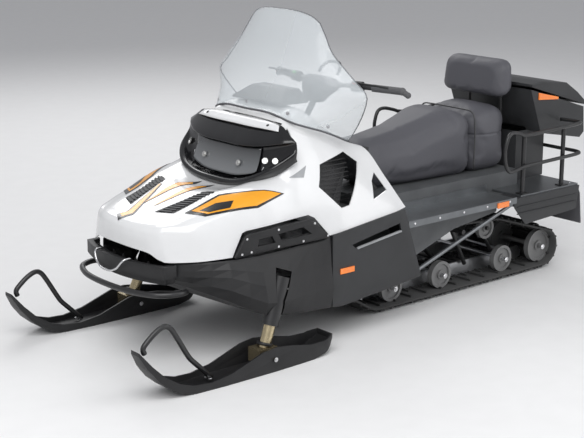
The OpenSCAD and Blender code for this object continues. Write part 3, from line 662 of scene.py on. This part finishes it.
HOOD_NET = [
    [(272, 0, 494), (267, 90, 492), (250, 180, 486), (238, 225, 468), (224, 258, 458)],
    [(272, 0, 584), (266, 95, 583), (244, 175, 580), (216, 236, 573), (196, 280, 456)],
    [(180, 0, 614), (172, 120, 614), (148, 220, 612), (115, 300, 590), (100, 338, 456)],
    [(60, 0, 650), (50, 130, 652), (20, 240, 650), (-20, 338, 620), (-40, 378, 458)],
    [(-60, 0, 680), (-70, 140, 686), (-100, 252, 696), (-150, 362, 656), (-170, 415, 464)],
    [(-245, 0, 692), (-250, 150, 704), (-275, 270, 735), (-315, 378, 690), (-330, 432, 474)],
    [(-330, 0, 860), (-335, 160, 860), (-340, 290, 815), (-400, 388, 706), (-430, 443, 480)],
    [(-400, 0, 962), (-402, 150, 960), (-415, 262, 930), (-500, 385, 720), (-560, 446, 488)],
    [(-520, 0, 1000), (-520, 130, 1000), (-540, 232, 962), (-620, 375, 705), (-690, 446, 500)],
    [(-640, 0, 940), (-640, 140, 935), (-650, 250, 890), (-735, 368, 685), (-820, 440, 512)],
    [(-740, 0, 850), (-745, 150, 845), (-760, 258, 822), (-830, 355, 668), (-910, 430, 520)],
    [(-840, 0, 800), (-845, 150, 800), (-872, 262, 784), (-925, 340, 660), (-982, 415, 527)],
]
POD_NET = [
    [(-262, 0, 668), (-266, 130, 676), (-280, 240, 706), (-320, 320, 752), (-385, 368, 808)],
    [(-205, 0, 690), (-210, 130, 696), (-230, 240, 724), (-285, 325, 772), (-375, 374, 825)],
    [(-212, 0, 714), (-218, 130, 718), (-238, 238, 745), (-292, 325, 795), (-377, 376, 848)],
    [(-270, 0, 720), (-273, 120, 722), (-288, 215, 748), (-330, 315, 806), (-377, 374, 864)],
    [(-300, 0, 845), (-302, 120, 845), (-314, 205, 848), (-345, 300, 866), (-377, 370, 884)],
    [(-268, 0, 858), (-270, 120, 858), (-290, 225, 866), (-332, 312, 882), (-376, 365, 895)],
    [(-322, 0, 915), (-324, 120, 914), (-337, 220, 915), (-356, 295, 916), (-377, 325, 918)],
    [(-388, 0, 962), (-388, 120, 961), (-385, 200, 957), (-380, 262, 950), (-379, 285, 943)],
]
SHIELD_NET = [
    [(-400, 0, 985), (-412, 150, 982), (-450, 272, 948), (-590, 308, 900), (-730, 304, 842)],
    [(-440, 0, 1070), (-450, 150, 1066), (-488, 288, 1030), (-590, 380, 985), (-705, 392, 925)],
    [(-478, 0, 1145), (-488, 150, 1140), (-520, 300, 1115), (-580, 412, 1090), (-655, 500, 1062)],
    [(-514, 0, 1215), (-522, 135, 1210), (-545, 260, 1192), (-585, 360, 1165), (-640, 440, 1130)],
    [(-550, 0, 1290), (-556, 120, 1285), (-572, 210, 1270), (-595, 280, 1250), (-622, 325, 1228)],
    [(-580, 0, 1350), (-585, 100, 1347), (-598, 170, 1338), (-612, 225, 1322), (-626, 272, 1298)],
    [(-606, 0, 1402), (-609, 85, 1400), (-615, 145, 1392), (-622, 192, 1378), (-630, 228, 1354)],
]


def both(build: Callable[[int], None]) -> None:
    """Runs a builder once for each side of the machine."""
    for side in (1, -1):
        build(side)


@dataclass
class Hood:
    """The white tilting hood with its vents, decals, lamp pod, cowl and screen."""

    wall: float = 0.005
    brow_forward: float = 0.006
    brow_lift: float = 0.003
    body: str = "hood_body"

    def build(self) -> None:
        """Builds and dresses the whole hood group."""
        skin = self.shell()
        self.decals(skin)
        self.ribbed_vents(skin)
        self.mesh_vents()
        self.pod()
        self.cowl()
        self.screen()

    def shell(self) -> BVHTree:
        """The hood's white shell; returns its outer surface for what lies on it."""
        net = smooth_net(HOOD_NET, 6, 6)
        obj = net_object("hood_shell", net, WHITE)
        skin = surface_of(obj)
        wall = obj.modifiers.new("wall", "SOLIDIFY")
        wall.thickness = self.wall
        wall.offset = -1.0
        bake(obj)
        room = [(-262, 706), (-262, 640), (-420, 640), (-420, 944), (-388, 958), (-262, 958)]
        cheek = [(-300, 790), (-330, 770), (-420, 850), (-420, 950), (-380, 962), (-300, 940)]
        back = [(-606, 1100), (-606, 940), (-632, 835), (-760, 760), (-870, 720), (-1000, 690),
                (-1100, 690), (-1100, 1100)]
        vent = [(-480, 690), (-520, 775), (-700, 800), (-775, 745), (-640, 590), (-590, 585)]
        small = [(-860, 690), (-900, 610), (-790, 588), (-820, 660)]
        intake = [(-22, 440), (-82, 552), (-100, 560), (-400, 586), (-432, 570), (-505, 480), (-505, 440)]
        cuts: list[Cutter] = [(room, -240, 240), (back, -238, 238)]
        for s in (1, -1):
            for outline, a, b in ((cheek, 260, 372), (vent, 270, 470), (small, 270, 470),
                                  (intake, 330, 470)):
                cuts.append((outline, min(s * a, s * b), max(s * a, s * b)))
        cut(obj, cuts)
        shade_by_angle(obj, 35.0)
        seat_on(obj, self.body, "hood")
        return skin

    def decals(self, skin: BVHTree) -> None:
        """Coloured films on the flanks and on the nose."""
        def patch(name: str, ring: Sequence[Point], side: int, aim: Vector, finish: Finish,
                  lift: float) -> None:
            points = [at(x, side * y, z) for x, y, z in ring]
            seat_on(decal(name, skin, points, aim, finish, lift), self.body)

        def flank(side: int) -> None:
            label = "left" if side > 0 else "right"
            aim = Vector((0.0, -side * 0.75, -0.66))
            patch(f"flank_black_{label}", [(90, 214, 633), (-71, 233, 690), (-230, 337, 705), (-304, 378, 685),
                                           (-170, 372, 644), (45, 297, 627)], side, aim, BLACK_FILM, 1.4)
            patch(f"flank_orange_{label}", [(62, 226, 640), (-68, 246, 686), (-228, 342, 702), (-290, 372, 685),
                                            (-166, 364, 650), (30, 290, 632)], side, aim, ORANGE, 2.2)
            patch(f"flank_dark_{label}", [(40, 250, 640), (-30, 262, 660), (-90, 300, 665), (-60, 318, 645),
                                          (20, 284, 634)], side, aim, BLACK_FILM, 2.9)
            patch(f"flank_panel_{label}", [(-350, 356, 742), (-443, 356, 782), (-414, 375, 737)], side,
                  Vector((0.0, -side, 0.0)), GREY_FILM, 1.2)
            stripe = [(130, 34, 700), (-140, 22, 700), (-196, 46, 700), (-90, 78, 700)]
            patch(f"nose_stripe_{label}", stripe, side, down, BLACK_FILM, 1.4)
            stripe = [(122, 36, 700), (-130, 26, 700), (-150, 50, 700), (-86, 72, 700)]
            patch(f"nose_orange_{label}", stripe, side, down, ORANGE, 2.2)
        down = Vector((0.0, 0.0, -1.0))
        both(flank)
        patch("arrow_black", [(268, 4, 700), (240, 56, 700), (204, 40, 700), (-30, 132, 700), (-40, 120, 700),
                              (206, -14, 700)], -1, down, BLACK_FILM, 2.9)
        patch("arrow_orange", [(246, 8, 700), (230, 44, 700), (200, 30, 700), (-26, 126, 700), (-30, 118, 700),
                               (200, -4, 700)], -1, down, ORANGE, 3.6)

    def ribbed_vents(self, skin: BVHTree) -> None:
        """The black ribbed vents in the top of the nose."""
        down = Vector((0.0, 0.0, -1.0))
        ribs = Repeated("nose_vent_ribs", Shape.BLOCK, (9, 92, 8), GREY_MOULD, self.body)

        def one(side: int) -> None:
            label = "left" if side > 0 else "right"
            ring = [at(x, side * y, 700) for x, y in [(150, 86), (116, 176), (-84, 192), (-78, 150)]]
            seat_on(decal(f"nose_vent_{label}", skin, ring, down, BLACK_MOULD, 1.8), self.body)
            for k in range(11):
                t = k / 10.0
                x = 124 - t * 186
                y = 133 + t * 37
                hit, normal, _, _ = skin.ray_cast(at(x, side * y, 900), down)
                if hit:
                    outward = normal if normal.z > 0 else -normal
                    ribs.add(hit + Vector((0, 0, 0.001)), outward, (1, side * 0.35, 0))
        both(one)
        size = ribs.size
        ribs.size = (size[0], 62, size[2])
        ribs.build()

    def mesh_vents(self) -> None:
        """Slatted mesh behind the flank openings."""
        slats = Repeated("flank_vent_slats", Shape.BLOCK, (150, 3, 3.5), BLACK_MOULD, self.body)
        for side in (1, -1):
            label = "left" if side > 0 else "right"
            for name, ring in (("big", [(-478, 296, 690), (-518, 268, 778), (-702, 246, 802), (-780, 240, 745),
                                        (-640, 352, 586), (-588, 352, 580)]),
                               ("small", [(-856, 262, 690), (-902, 318, 606), (-786, 330, 584), (-816, 285, 664)])):
                pts = [at(x, side * y, z) for x, y, z in ring]
                back = make_object(f"mesh_{name}_{label}", pts, [tuple(range(len(pts)))], MESH, smooth=False)
                wall = back.modifiers.new("wall", "SOLIDIFY")
                wall.thickness = 0.003
                bake(back)
                seat_on(back, self.body, *(["hood_vents"] if name == "big" and side > 0 else []))
            for k in range(11):
                z = 600 + k * 18
                depth = 352 - (z - 586) * 0.42
                slats.add(at(-640 - (z - 600) * 0.12, side * (depth + 6), z), (0, side, 0.35), (1, 0, 0))
        slats.build()

    def pod(self) -> None:
        """Gloss black lamp housing with the smoked lens, lamps and brow."""
        net = smooth_net(POD_NET, 6, 6)
        shell = net_object("lamp_housing", net, PIANO, 0.004)
        seat_on(shell, self.body, "headlight_pod")
        lens_net = smooth_net([
            [(-250, 0, 724), (-254, 110, 726), (-268, 200, 745), (-280, 222, 756)],
            [(-272, 0, 785), (-275, 110, 786), (-288, 200, 794), (-298, 222, 800)],
            [(-284, 0, 848), (-287, 110, 848), (-300, 200, 852), (-312, 222, 854)]], 6, 6)
        seat_on(net_object("smoked_lens", lens_net, LENS, 0.004), self.body, "headlight_lens")
        lamps = Repeated("lamp_spots", Shape.BOLT, (13, 9, 4), LAMP, self.body)
        for y in (-120, 120):
            lamps.add(at(-264, y, 780), (0.9, 0, 0.3), (0, 1, 0))
        for y in (-300, -268, 268, 300):
            lamps.add(at(-292 - (abs(y) - 268) * 0.9, y, 808), (0.7, 0.5 if y > 0 else -0.5, 0.3), (0, 0, 1))
        lamps.build()
        brow = smooth_net([
            [(-330, 0, 930), (-332, 120, 929), (-344, 215, 928), (-360, 280, 924)],
            [(-372, 0, 958), (-373, 120, 957), (-376, 205, 953), (-380, 262, 944)]], 5, 4)
        for row in brow:
            for v in row:
                v.x += self.brow_forward
                v.z += self.brow_lift
        seat_on(net_object("white_brow", brow, WHITE, 0.003), self.body)
        screws = Repeated("brow_screws", Shape.BOLT, (7, 3.5, 2.5), BLACK_FILM, self.body)
        for y in (-210, -70, 70, 210):
            screws.add(at(-348 - abs(y) * 0.03, y, 944), (0.55, 0, 0.83), (0, 1, 0))
        screws.build()

    def cowl(self) -> None:
        """Dash cowl behind the screen's foot."""
        obj = rounded_copy("dash_cowl", GREY_MOULD, 8.0, 4)
        log.info("%s dressed", obj.name)

    def screen(self) -> None:
        """Tall clear screen with a dark edge and its screws."""
        net = smooth_net(SHIELD_NET, 6, 6)
        seat_on(net_object("clear_screen_sheet", net, SCREEN, 0.003, 1.0), self.body, "windshield")
        edge = [net[i][-1] for i in range(0, len(net), 3)] + [net[-1][-1]]
        top = [net[-1][j] for j in range(len(net[0]) - 1, -1, -3)]
        far = [net[i][0] for i in range(len(net) - 1, -1, -3)]
        rim = edge + top[1:] + far[1:]
        seat_on(sweep("screen_edge", [tuple(v) for v in rim], 2.6, SOFT, 2, 8, metres=True), self.body)
        low = [net[0][j] for j in range(0, len(net[0]), 2)]
        seat_on(sweep("screen_foot", [tuple(v) for v in low], 5.0, SOFT, 2, 8, metres=True), self.body)
        studs = Repeated("screen_screws", Shape.BOLT, (8, 4, 3), STEEL, self.body)
        for j in (6, 14, 24, 34, 42):
            if j < len(net[1]):
                v = net[2][j]
                studs.add(v + Vector((0.004, 0, 0)), (0.9, v.y * 2, 0.2), (0, 0, 1))
        studs.build()


def shade_by_angle(obj: Object, degrees: float) -> None:
    """Smooth shades a mesh but keeps the edges sharper than an angle."""
    bm = bmesh.new()
    bm.from_mesh(obj.data)
    for edge in bm.edges:
        edge.smooth = not (len(edge.link_faces) == 2 and edge.calc_face_angle(0.0) > math.radians(degrees))
    bm.to_mesh(obj.data)
    bm.free()
    for poly in obj.data.polygons:
        poly.use_smooth = True


@dataclass
class FrontEnd:
    """Belly tub, nose lip, bumper, tow handle and intake panels."""

    body: str = "chassis"

    def build(self) -> None:
        """Builds the pieces round the nose."""
        dress("belly_pan", BLACK_MOULD)
        rounded_copy("front_fascia", BLACK_MOULD, 1.6)
        rounded_copy("intake_panels", BLACK_MOULD, 2.5)
        rounded_copy("side_panels", GREY_MOULD, 3.0)
        dress("engine_block", CAST)
        dress("front_subframe", TUBE)
        seat_on(sweep("bumper_tube", mirrored([(344, 0, 335), (332, 150, 335), (290, 262, 335),
                                               (240, 306, 335), (190, 318, 334), (150, 302, 330)]),
                      12.5, TUBE, 6),
                self.body, "front_bumper")
        seat_on(sweep("handle_wire", mirrored([(340, 30, 396), (334, 70, 412), (326, 98, 442),
                                               (312, 106, 453), (285, 108, 453)]),
                      4.5, STEEL, 6), self.body, "tow_handle")
        rivets = Repeated("panel_rivets", Shape.BOLT, (5, 2.5, 1.6), STEEL, self.body)
        mesh = Repeated("intake_mesh", Shape.BLOCK, (86, 1.6, 2.6), GREY_MOULD, self.body)
        for s in (1, -1):
            turn = math.radians(-9) * s
            for x, z in ((-60, 532), (-210, 552), (-386, 556), (-452, 494), (-330, 486), (-210, 480), (-80, 474),
                         (-36, 470)):
                px = -30 + x * math.cos(turn) - 23 * s * math.sin(turn)
                py = 372 * s + x * math.sin(turn) + 23 * s
                rivets.add(at(px, py, z), (0.15, s, 0), (1, 0, 0))
            for k in range(6):
                for x0, z0 in ((-152, 498), (-290, 512)):
                    x = x0
                    px, py = -30 + x * math.cos(turn), 372 * s + x * math.sin(turn) + 10 * s
                    mesh.add(at(px, py, z0 + k * 6), (0.0, s, 0.3), (1, math.tan(turn), 0))
        rivets.build()
        mesh.build()
        lip = [(-650, 400), (-916, 432), (-914, 440), (-652, 408)]
        for label, y0, y1 in (("left", 452, 464), ("right", -464, -452)):
            seat_on(prism(f"slot_lip_{label}", lip, y0, y1, GREY_FILM, 1.5), self.body)


def dress(node: str, finish: Finish) -> None:
    """Gives a CAD node a procedural finish on every one of its slots."""
    obj = frame["nodes"][node]
    if not obj.material_slots:
        obj.data.materials.append(finish.material())
    for item in obj.material_slots:
        item.material = finish.material()
    log.info("%s dressed in %s", node, finish.name)


# ---------------------------------------------------------------- seats and pads

# How far a seam pulls the cover in on each side of it, in metres
SEAM_WIDTH = 0.0045


@dataclass
class Pad:
    """A cushion lofted from rings and swollen as padded vinyl."""

    name: str
    node: str
    body: str
    stations: list[tuple[float, float, float, float, float]]
    finish: Finish
    fill: float = 0.7
    swell: float = 0.012
    seams: list[tuple[Vector, Vector, float]] = field(default_factory=list)
    lean: float = 0.0
    voxel: float = 0.008

    def loft(self) -> Object:
        """The cushion before it is filled, as a closed loft along X.

        Each station is x, lower half width, upper half width, low z and high z.
        """
        around = 28
        verts: list[Vector] = []
        for x, low_w, high_w, z0, z1 in self.stations:
            for k in range(around):
                a = 2 * math.pi * k / around
                c, s = math.cos(a), math.sin(a)
                u = math.copysign(abs(c) ** 0.38, c)
                w = math.copysign(abs(s) ** 0.42, s)
                t = (w + 1) / 2
                half = low_w + (high_w - low_w) * t
                verts.append(at(x + self.lean * (t - 0.5), u * half, z0 + (z1 - z0) * t))
        n = len(self.stations)
        faces: list[tuple[int, ...]] = [(i * around + k, i * around + (k + 1) % around,
                                         (i + 1) * around + (k + 1) % around, (i + 1) * around + k)
                                        for i in range(n - 1) for k in range(around)]
        faces += [tuple(range(around)), tuple(range((n - 1) * around, n * around))]
        return make_object(self.name, verts, faces, self.finish)

    def build(self) -> Object:
        """Fills, seams and places the cushion."""
        obj = self.loft()
        grid = obj.modifiers.new("grid", "REMESH")
        grid.mode = "VOXEL"
        grid.voxel_size = self.voxel
        bake(obj)
        self.fill_with_foam(obj)
        relax = obj.modifiers.new("relax", "SMOOTH")
        relax.iterations = 6
        relax.factor = 0.5
        fine = obj.modifiers.new("fine", "SUBSURF")
        fine.levels = fine.render_levels = 1
        bake(obj)
        self.sew(obj)
        for poly in obj.data.polygons:
            poly.use_smooth = True
        obj.data.materials.clear()
        obj.data.materials.append(self.finish.material())
        seat_on(obj, self.body, self.node)
        return obj

    def fill_with_foam(self, obj: Object) -> None:
        """Swells the cushion under pressure, then caps how far it moved."""
        rest = [v.co.copy() for v in obj.data.vertices]
        cloth = obj.modifiers.new("cover", "CLOTH")
        cloth.settings.use_pressure = True
        cloth.settings.uniform_pressure_force = 4.0
        cloth.settings.effector_weights.gravity = 0.0
        cloth.settings.quality = 4
        cloth.point_cache.frame_start = 1
        cloth.point_cache.frame_end = 20
        scene = bpy.context.scene
        for number in range(1, 21):
            scene.frame_set(number)
        bake(obj)
        scene.frame_set(1)
        for v, was in zip(obj.data.vertices, rest):
            step = v.co - was
            if step.length > self.swell:
                v.co = was + step.normalized() * self.swell

    def sew(self, obj: Object) -> None:
        """Pulls the cover in along each seam plane (point, normal, depth in mm)."""
        mesh = obj.data
        normals = [v.normal.copy() for v in mesh.vertices]
        for v, normal in zip(mesh.vertices, normals):
            for place, across, depth in self.seams:
                d = (v.co - place).dot(across.normalized())
                v.co -= normal * depth / 1000.0 * math.exp(-(d / SEAM_WIDTH) ** 2)


@dataclass
class Seats:
    """Both seat cushions, the backrest and the piping between the cushions."""

    body: str = "chassis"

    def build(self) -> None:
        """Builds the seat's padded pieces and their piping."""
        tilt = Vector((0.32, 0.0, 1.0))
        Pad("front_cushion", "seat_front", self.body,
            [(-975, 92, 96, 640, 752), (-1010, 125, 112, 585, 762), (-1100, 158, 122, 548, 762),
             (-1250, 172, 140, 532, 784), (-1400, 182, 165, 528, 822), (-1500, 186, 180, 528, 850),
             (-1580, 188, 184, 528, 858), (-1632, 188, 182, 530, 850), (-1662, 182, 172, 540, 828)],
            VINYL, 0.75, 0.012,
            [(at(-1609, 0, 560), tilt, 4.0), (at(-1300, 0, 0), Vector((1, 0, 0)), 0.0)]).build()
        Pad("rear_cushion", "seat_rear", self.body,
            [(-1690, 182, 172, 540, 828), (-1712, 186, 180, 530, 842), (-1790, 188, 184, 528, 858),
             (-1860, 188, 184, 528, 862), (-1896, 184, 178, 534, 850), (-1908, 176, 170, 545, 834)],
            VINYL, 0.75, 0.012, [(at(-1780, 0, 726), Vector((0, 0, 1)), 4.0)]).build()
        Pad("backrest_cushion", "backrest_pad", self.body,
            [(-1842, 168, 160, 906, 1044), (-1862, 212, 196, 890, 1074), (-1888, 224, 204, 894, 1086),
             (-1914, 218, 196, 910, 1086), (-1930, 196, 172, 930, 1072)],
            VINYL, 0.8, 0.008, [(at(-1880, 0, 965), Vector((0, 1, 0)), 0.0)], lean=-18.0, voxel=0.006).build()
        seam = self.piping(-1676)
        log.info("%s laid", seam.name)

    def piping(self, x: float) -> Object:
        """Piping round the joint between the two cushions."""
        ring = [(x, 186, 560), (x, 189, 700), (x, 184, 800), (x, 165, 842), (x, 100, 850), (x, -100, 850),
                (x, -165, 842), (x, -184, 800), (x, -189, 700), (x, -186, 560)]
        return seat_on(sweep("cushion_piping", ring, 4.0, PIPING, 4, 8), self.body)


# ---------------------------------------------------------------- track

@dataclass
class Track:
    """Rubber belt with rows of lugs, clips and the running gear."""

    width: float = 600.0
    belt: float = 10.0
    lug: float = 18.0
    pitch: float = 51.0
    circles: list[tuple[float, float, float]] = field(default_factory=lambda: [
        (-2110, 112, 84), (-960, 170, 142), (-640, 300, 90), (-1740, 262, 55)])

    def outline(self, grow: float, steps: int = 28) -> list[tuple[float, float]]:
        """The belt's line round its wheels, grown outwards by some millimetres."""
        out: list[tuple[float, float]] = []
        n = len(self.circles)

        def lead(a: tuple[float, float, float], b: tuple[float, float, float]) -> float:
            dx, dz = b[0] - a[0], b[1] - a[1]
            return math.atan2(dz, dx) - math.acos((a[2] - b[2]) / math.hypot(dx, dz))

        for i, c in enumerate(self.circles):
            a0 = lead(self.circles[i - 1], c)
            a1 = lead(c, self.circles[(i + 1) % n])
            while a1 < a0:
                a1 += 2 * math.pi
            for k in range(steps + 1):
                a = a0 + (a1 - a0) * k / steps
                out.append((c[0] + (c[2] + grow) * math.cos(a), c[1] + (c[2] + grow) * math.sin(a)))
        return out

    def build(self) -> None:
        """Builds the belt, its lugs and clips, and dresses the running gear."""
        outer, inner = self.outline(self.belt), self.outline(0.0)
        n, half = len(outer), self.width / 2
        verts = [at(x, y, z) for ring in (outer, inner) for y in (-half, half) for x, z in ring]
        faces: list[tuple[int, ...]] = []
        for i in range(n):
            j = (i + 1) % n
            faces += [(i, j, n + j, n + i), (2 * n + i, 2 * n + j, 3 * n + j, 3 * n + i),
                      (i, j, 2 * n + j, 2 * n + i), (n + i, n + j, 3 * n + j, 3 * n + i)]
        seat_on(make_object("belt", verts, faces, RUBBER), "chassis", "track")
        self.lugs()
        for node, finish in (("slide_rails", RAIL), ("track_wheels", WHEEL), ("suspension_arms", TUBE),
                             ("drive_axle", STEEL), ("tunnel", TUNNEL)):
            dress(node, finish)
        bolts = Repeated("wheel_bolts", Shape.BOLT, (13, 8, 5), STEEL, "chassis")
        for x, z in ((-1061, 95), (-1393, 95), (-1834, 95), (-2110, 112)):
            for s in (1, -1):
                bolts.add(at(x, s * 284, z), (0, s, 0), (1, 0, 0))
        bolts.build()

    def lugs(self) -> None:
        """Rows of lugs and inner clips along the belt."""
        line = self.outline(self.belt, 40)
        n = len(line)
        spans = [math.dist(line[i], line[(i + 1) % n]) for i in range(n)]
        total = sum(spans)
        count = round(total / self.pitch)
        tall = Repeated("belt_lugs", Shape.BLOCK, (9, 118, self.lug * 2), RUBBER, "chassis")
        low = Repeated("belt_side_lugs", Shape.BLOCK, (8, 60, 16), RUBBER, "chassis")
        clips = Repeated("belt_clips", Shape.BLOCK, (20, 34, 4), STEEL, "chassis")
        for k in range(count):
            s, i = (k + 0.5) * total / count, 0
            while s > spans[i]:
                s -= spans[i]
                i += 1
            a, b = Vector((*line[i], 0)), Vector((*line[(i + 1) % n], 0))
            p = a.lerp(b, s / spans[i])
            t = (b - a).normalized()
            out = (t.y, 0.0, -t.x)
            along = (t.x, 0.0, t.y)
            for y in ((-215, -72, 72, 215) if k % 2 else (-144, 0, 144)):
                tall.add(at(p.x - out[0] * 1, y, p.y - out[2] * 1), out, along)
            for y in (-268, 268):
                low.add(at(p.x, y, p.y), out, along)
            for y in (-156, 156):
                clips.add(at(p.x - out[0] * 11, y, p.y - out[2] * 11), out, along)
        tall.build()
        low.build()
        clips.build()


# ---------------------------------------------------------------- skis and steering

@dataclass
class Skis:
    """Both skis with their loops, struts and fasteners."""

    stance: float = 485.0

    def build(self) -> None:
        """Dresses each ski and its spindle and adds its loop, strut collar and bolts."""
        for side, label in ((1, "left"), (-1, "right")):
            body = f"{label}_ski"
            rounded_copy(f"ski_{label}", BLACK_MOULD, 2.2, 3)
            dress(f"spindle_{label}", GOLD)
            path = [(168, 0, 20), (230, 0, 82), (268, 0, 120), (290, 0, 152), (345, 0, 244), (372, 0, 276),
                    (400, 0, 281), (440, 0, 262), (484, 0, 226), (492, 0, 208), (486, 0, 192)]
            loop = sweep(f"loop_{label}", [(x, side * self.stance + y, z) for x, y, z in path], 11, TUBE, 5)
            seat_on(loop, body, f"ski_loop_{label}")
            collar = sweep(f"strut_collar_{label}",
                           [(-108, side * 484, 92), (-112, side * 483.4, 104)], 33, BLACK_MOULD, 2, 28)
            seat_on(collar, body)
            bolts = Repeated(f"ski_bolts_{label}", Shape.BOLT, (10, 6.5, 4), STEEL, body)
            for x, z in ((-100, 55),):
                for s in (1, -1):
                    bolts.add(at(x, side * self.stance + s * 86, z), (0, s, 0), (1, 0, 0))
            bolts.add(at(184, side * self.stance + 14, 22), (0, 0, 1), (1, 0, 0))
            bolts.add(at(184, side * self.stance - 14, 22), (0, 0, 1), (1, 0, 0))
            bolts.build()


@dataclass
class Steering:
    """Handlebar with grips, controls, pad and strap."""

    body: str = "steering"
    clamp: Point = (-835, 0, 1032)

    def near(self, x: float, y: float, z: float) -> Point:
        """A place measured from the bar's clamp."""
        return (self.clamp[0] + x, self.clamp[1] + y, self.clamp[2] + z)

    def build(self) -> None:
        """Builds what turns with the bar."""
        dress("handlebar", TUBE)
        dress("grips", GRIP)
        dress("bar_controls", BLACK_MOULD)
        buttons = Repeated("red_button", Shape.BOLT, (8, 6, 6), RED, self.body)
        buttons.add(at(*self.near(-20, 205, 42)), (0.5, 0, 0.8), (0, 1, 0))
        buttons.build()
        green = Repeated("green_button_set", Shape.BOLT, (8, 6, 6), GREEN, self.body)
        green.add(at(*self.near(-20, -205, 42)), (0.5, 0, 0.8), (0, 1, 0))
        green.build()
        strap = mirrored([(-88, 0, 108), (-84, 36, 104), (-66, 58, 84), (-48, 64, 60)])
        seat_on(sweep("strap", [self.near(*p) for p in strap], 7.0, SOFT, 5), self.body, "grab_strap")
        x, _, z = self.clamp
        Pad("bar_cushion", "bar_pad", self.body,
            [(x + 50, 62, 70, z - 68, z + 20), (x + 32, 84, 92, z - 60, z + 46), (x + 8, 96, 104, z - 34, z + 56),
             (x - 18, 100, 108, z - 16, z + 48), (x - 36, 98, 104, z - 4, z + 32)],
            SOFT, 0.6, 0.005, [(at(x, 0, z), Vector((0, 1, 0)), 0.0)], voxel=0.005).build()


# ---------------------------------------------------------------- rear

@dataclass
class Rear:
    """Boards, deck, rack, box and lights."""

    body: str = "chassis"
    rack: list[Point] = field(default_factory=lambda: [
        (-2196, 292, 766), (-2204, 360, 766), (-2200, 405, 766), (-2170, 424, 765), (-2000, 424, 759),
        (-1790, 424, 754), (-1730, 430, 768), (-1672, 440, 782), (-1630, 446, 772), (-1608, 446, 720),
        (-1606, 446, 680), (-1616, 446, 630), (-1645, 442, 598), (-1700, 432, 594), (-1790, 424, 602),
        (-2000, 424, 607), (-2160, 424, 611), (-2205, 410, 612), (-2222, 370, 612), (-2222, 300, 612),
        (-2222, 120, 612)])

    def build(self) -> None:
        """Builds everything behind the seat and along the boards."""
        for node, finish, width in (("cargo_box", GREY_MOULD, 5.0), ("cargo_box_lid", GREY_MOULD, 4.0),
                                    ("rear_skirts", GREY_MOULD, 1.8), ("snow_flap", SOFT, 1.2)):
            rounded_copy(node, finish, width, 3)
        for node, finish in (("running_boards", BOARD), ("cargo_deck", BOARD), ("tow_hitch", TUBE),
                             ("backrest_frame", TUBE), ("console", GREY_MOULD), ("reflectors", AMBER),
                             ("cargo_rack", TUBE)):
            dress(node, finish)
        far = [(x, -y, z) for x, y, z in reversed(self.rack)]
        rail = sweep("rack_rail", self.rack + far, 9.1, TUBE, 4, 12)
        seat_on(rail, self.body)
        rivets = Repeated("board_rivets", Shape.BOLT, (5.5, 3, 1.8), STEEL, self.body)
        ribs = Repeated("skirt_ribs", Shape.BLOCK, (440, 5, 7), GREY_MOULD, self.body)
        for s in (1, -1):
            for k in range(5):
                rivets.add(at(-1010 - k * 160, s * 451, 452), (0, s, 0), (1, 0, 0))
            for x, z in ((-2150, 463), (-1775, 463)):
                rivets.add(at(x, s * 405, z), (0, 0, 1), (1, 0, 0))
            for z in (378, 412):
                ribs.add(at(-1935, s * 443, z), (0, s, 0), (1, 0, 0))
        rivets.build()
        ribs.build()
        lamp = prism("tail_lamp", [(-2403, 698), (-2415, 702), (-2412, 742), (-2401, 742)], -112, 112, RED, 1.5)
        seat_on(lamp, self.body)


# ---------------------------------------------------------------- studio

@dataclass
class Studio:
    """Floor, lights and the camera."""

    azimuth: float = 139.66
    elevation: float = 14.48
    roll: float = 0.10
    place: Point = (3340, 4720, 2040)
    lens: float = 86.3

    def build(self) -> None:
        """Sets the whole studio."""
        self.camera()
        floor = make_object("floor", [Vector((x, y, -0.0005)) for x, y in
                                      ((-30, -30), (30, -30), (30, 30), (-30, 30))], [(0, 1, 2, 3)], FLOOR)
        self.light("key", (3.5, 3.0, 5.0), 5.0, 290.0)
        self.light("fill", (-3.5, 4.5, 3.5), 5.0, 120.0)
        self.light("back", (-2.0, -5.0, 5.0), 4.0, 150.0)
        world = bpy.data.worlds.new("studio")
        world.use_nodes = True
        sky = world.node_tree.nodes["Background"]
        sky.inputs["Color"].default_value = (0.95, 0.96, 1.0, 1.0)
        sky.inputs["Strength"].default_value = 0.42
        bpy.context.scene.world = world
        bpy.context.scene.view_settings.view_transform = "Standard"

    def light(self, name: str, place: Point, size: float, power: float) -> None:
        """Hangs one soft light aimed at the machine."""
        data = bpy.data.lights.new(name, "AREA")
        data.size = size
        data.energy = power
        lamp = bpy.data.objects.new(name, data)
        lamp.location = place
        lamp.rotation_euler = (Vector(place) - Vector((0, 0, 0.5))).to_track_quat("Z", "Y").to_euler()
        show(lamp)

    def camera(self) -> None:
        """Places the camera."""
        data = bpy.data.cameras.new("view")
        data.lens = self.lens
        data.sensor_width = 36.0
        data.clip_end = 100.0
        cam = bpy.data.objects.new("view", data)
        a, e = math.radians(self.azimuth), math.radians(self.elevation)
        back = Vector((math.sin(a) * math.cos(e), -math.cos(a) * math.cos(e), math.sin(e)))
        cam.location = at(*self.place)
        turn = back.to_track_quat("Z", "Y")
        cam.rotation_euler = turn.to_euler()
        cam.rotation_euler.rotate_axis("Z", math.radians(self.roll))
        show(cam)
        bpy.context.scene.camera = cam


def main() -> None:
    """Builds every sub-assembly in order."""
    logging.basicConfig(level=logging.INFO, format="%(name)s: %(message)s")
    for part in (Studio(), Hood(), FrontEnd(), Seats(), Track(), Skis(), Steering(), Rear()):
        log.info("building %s", type(part).__name__)
        part.build()


if __name__ == "__main__":
    main()
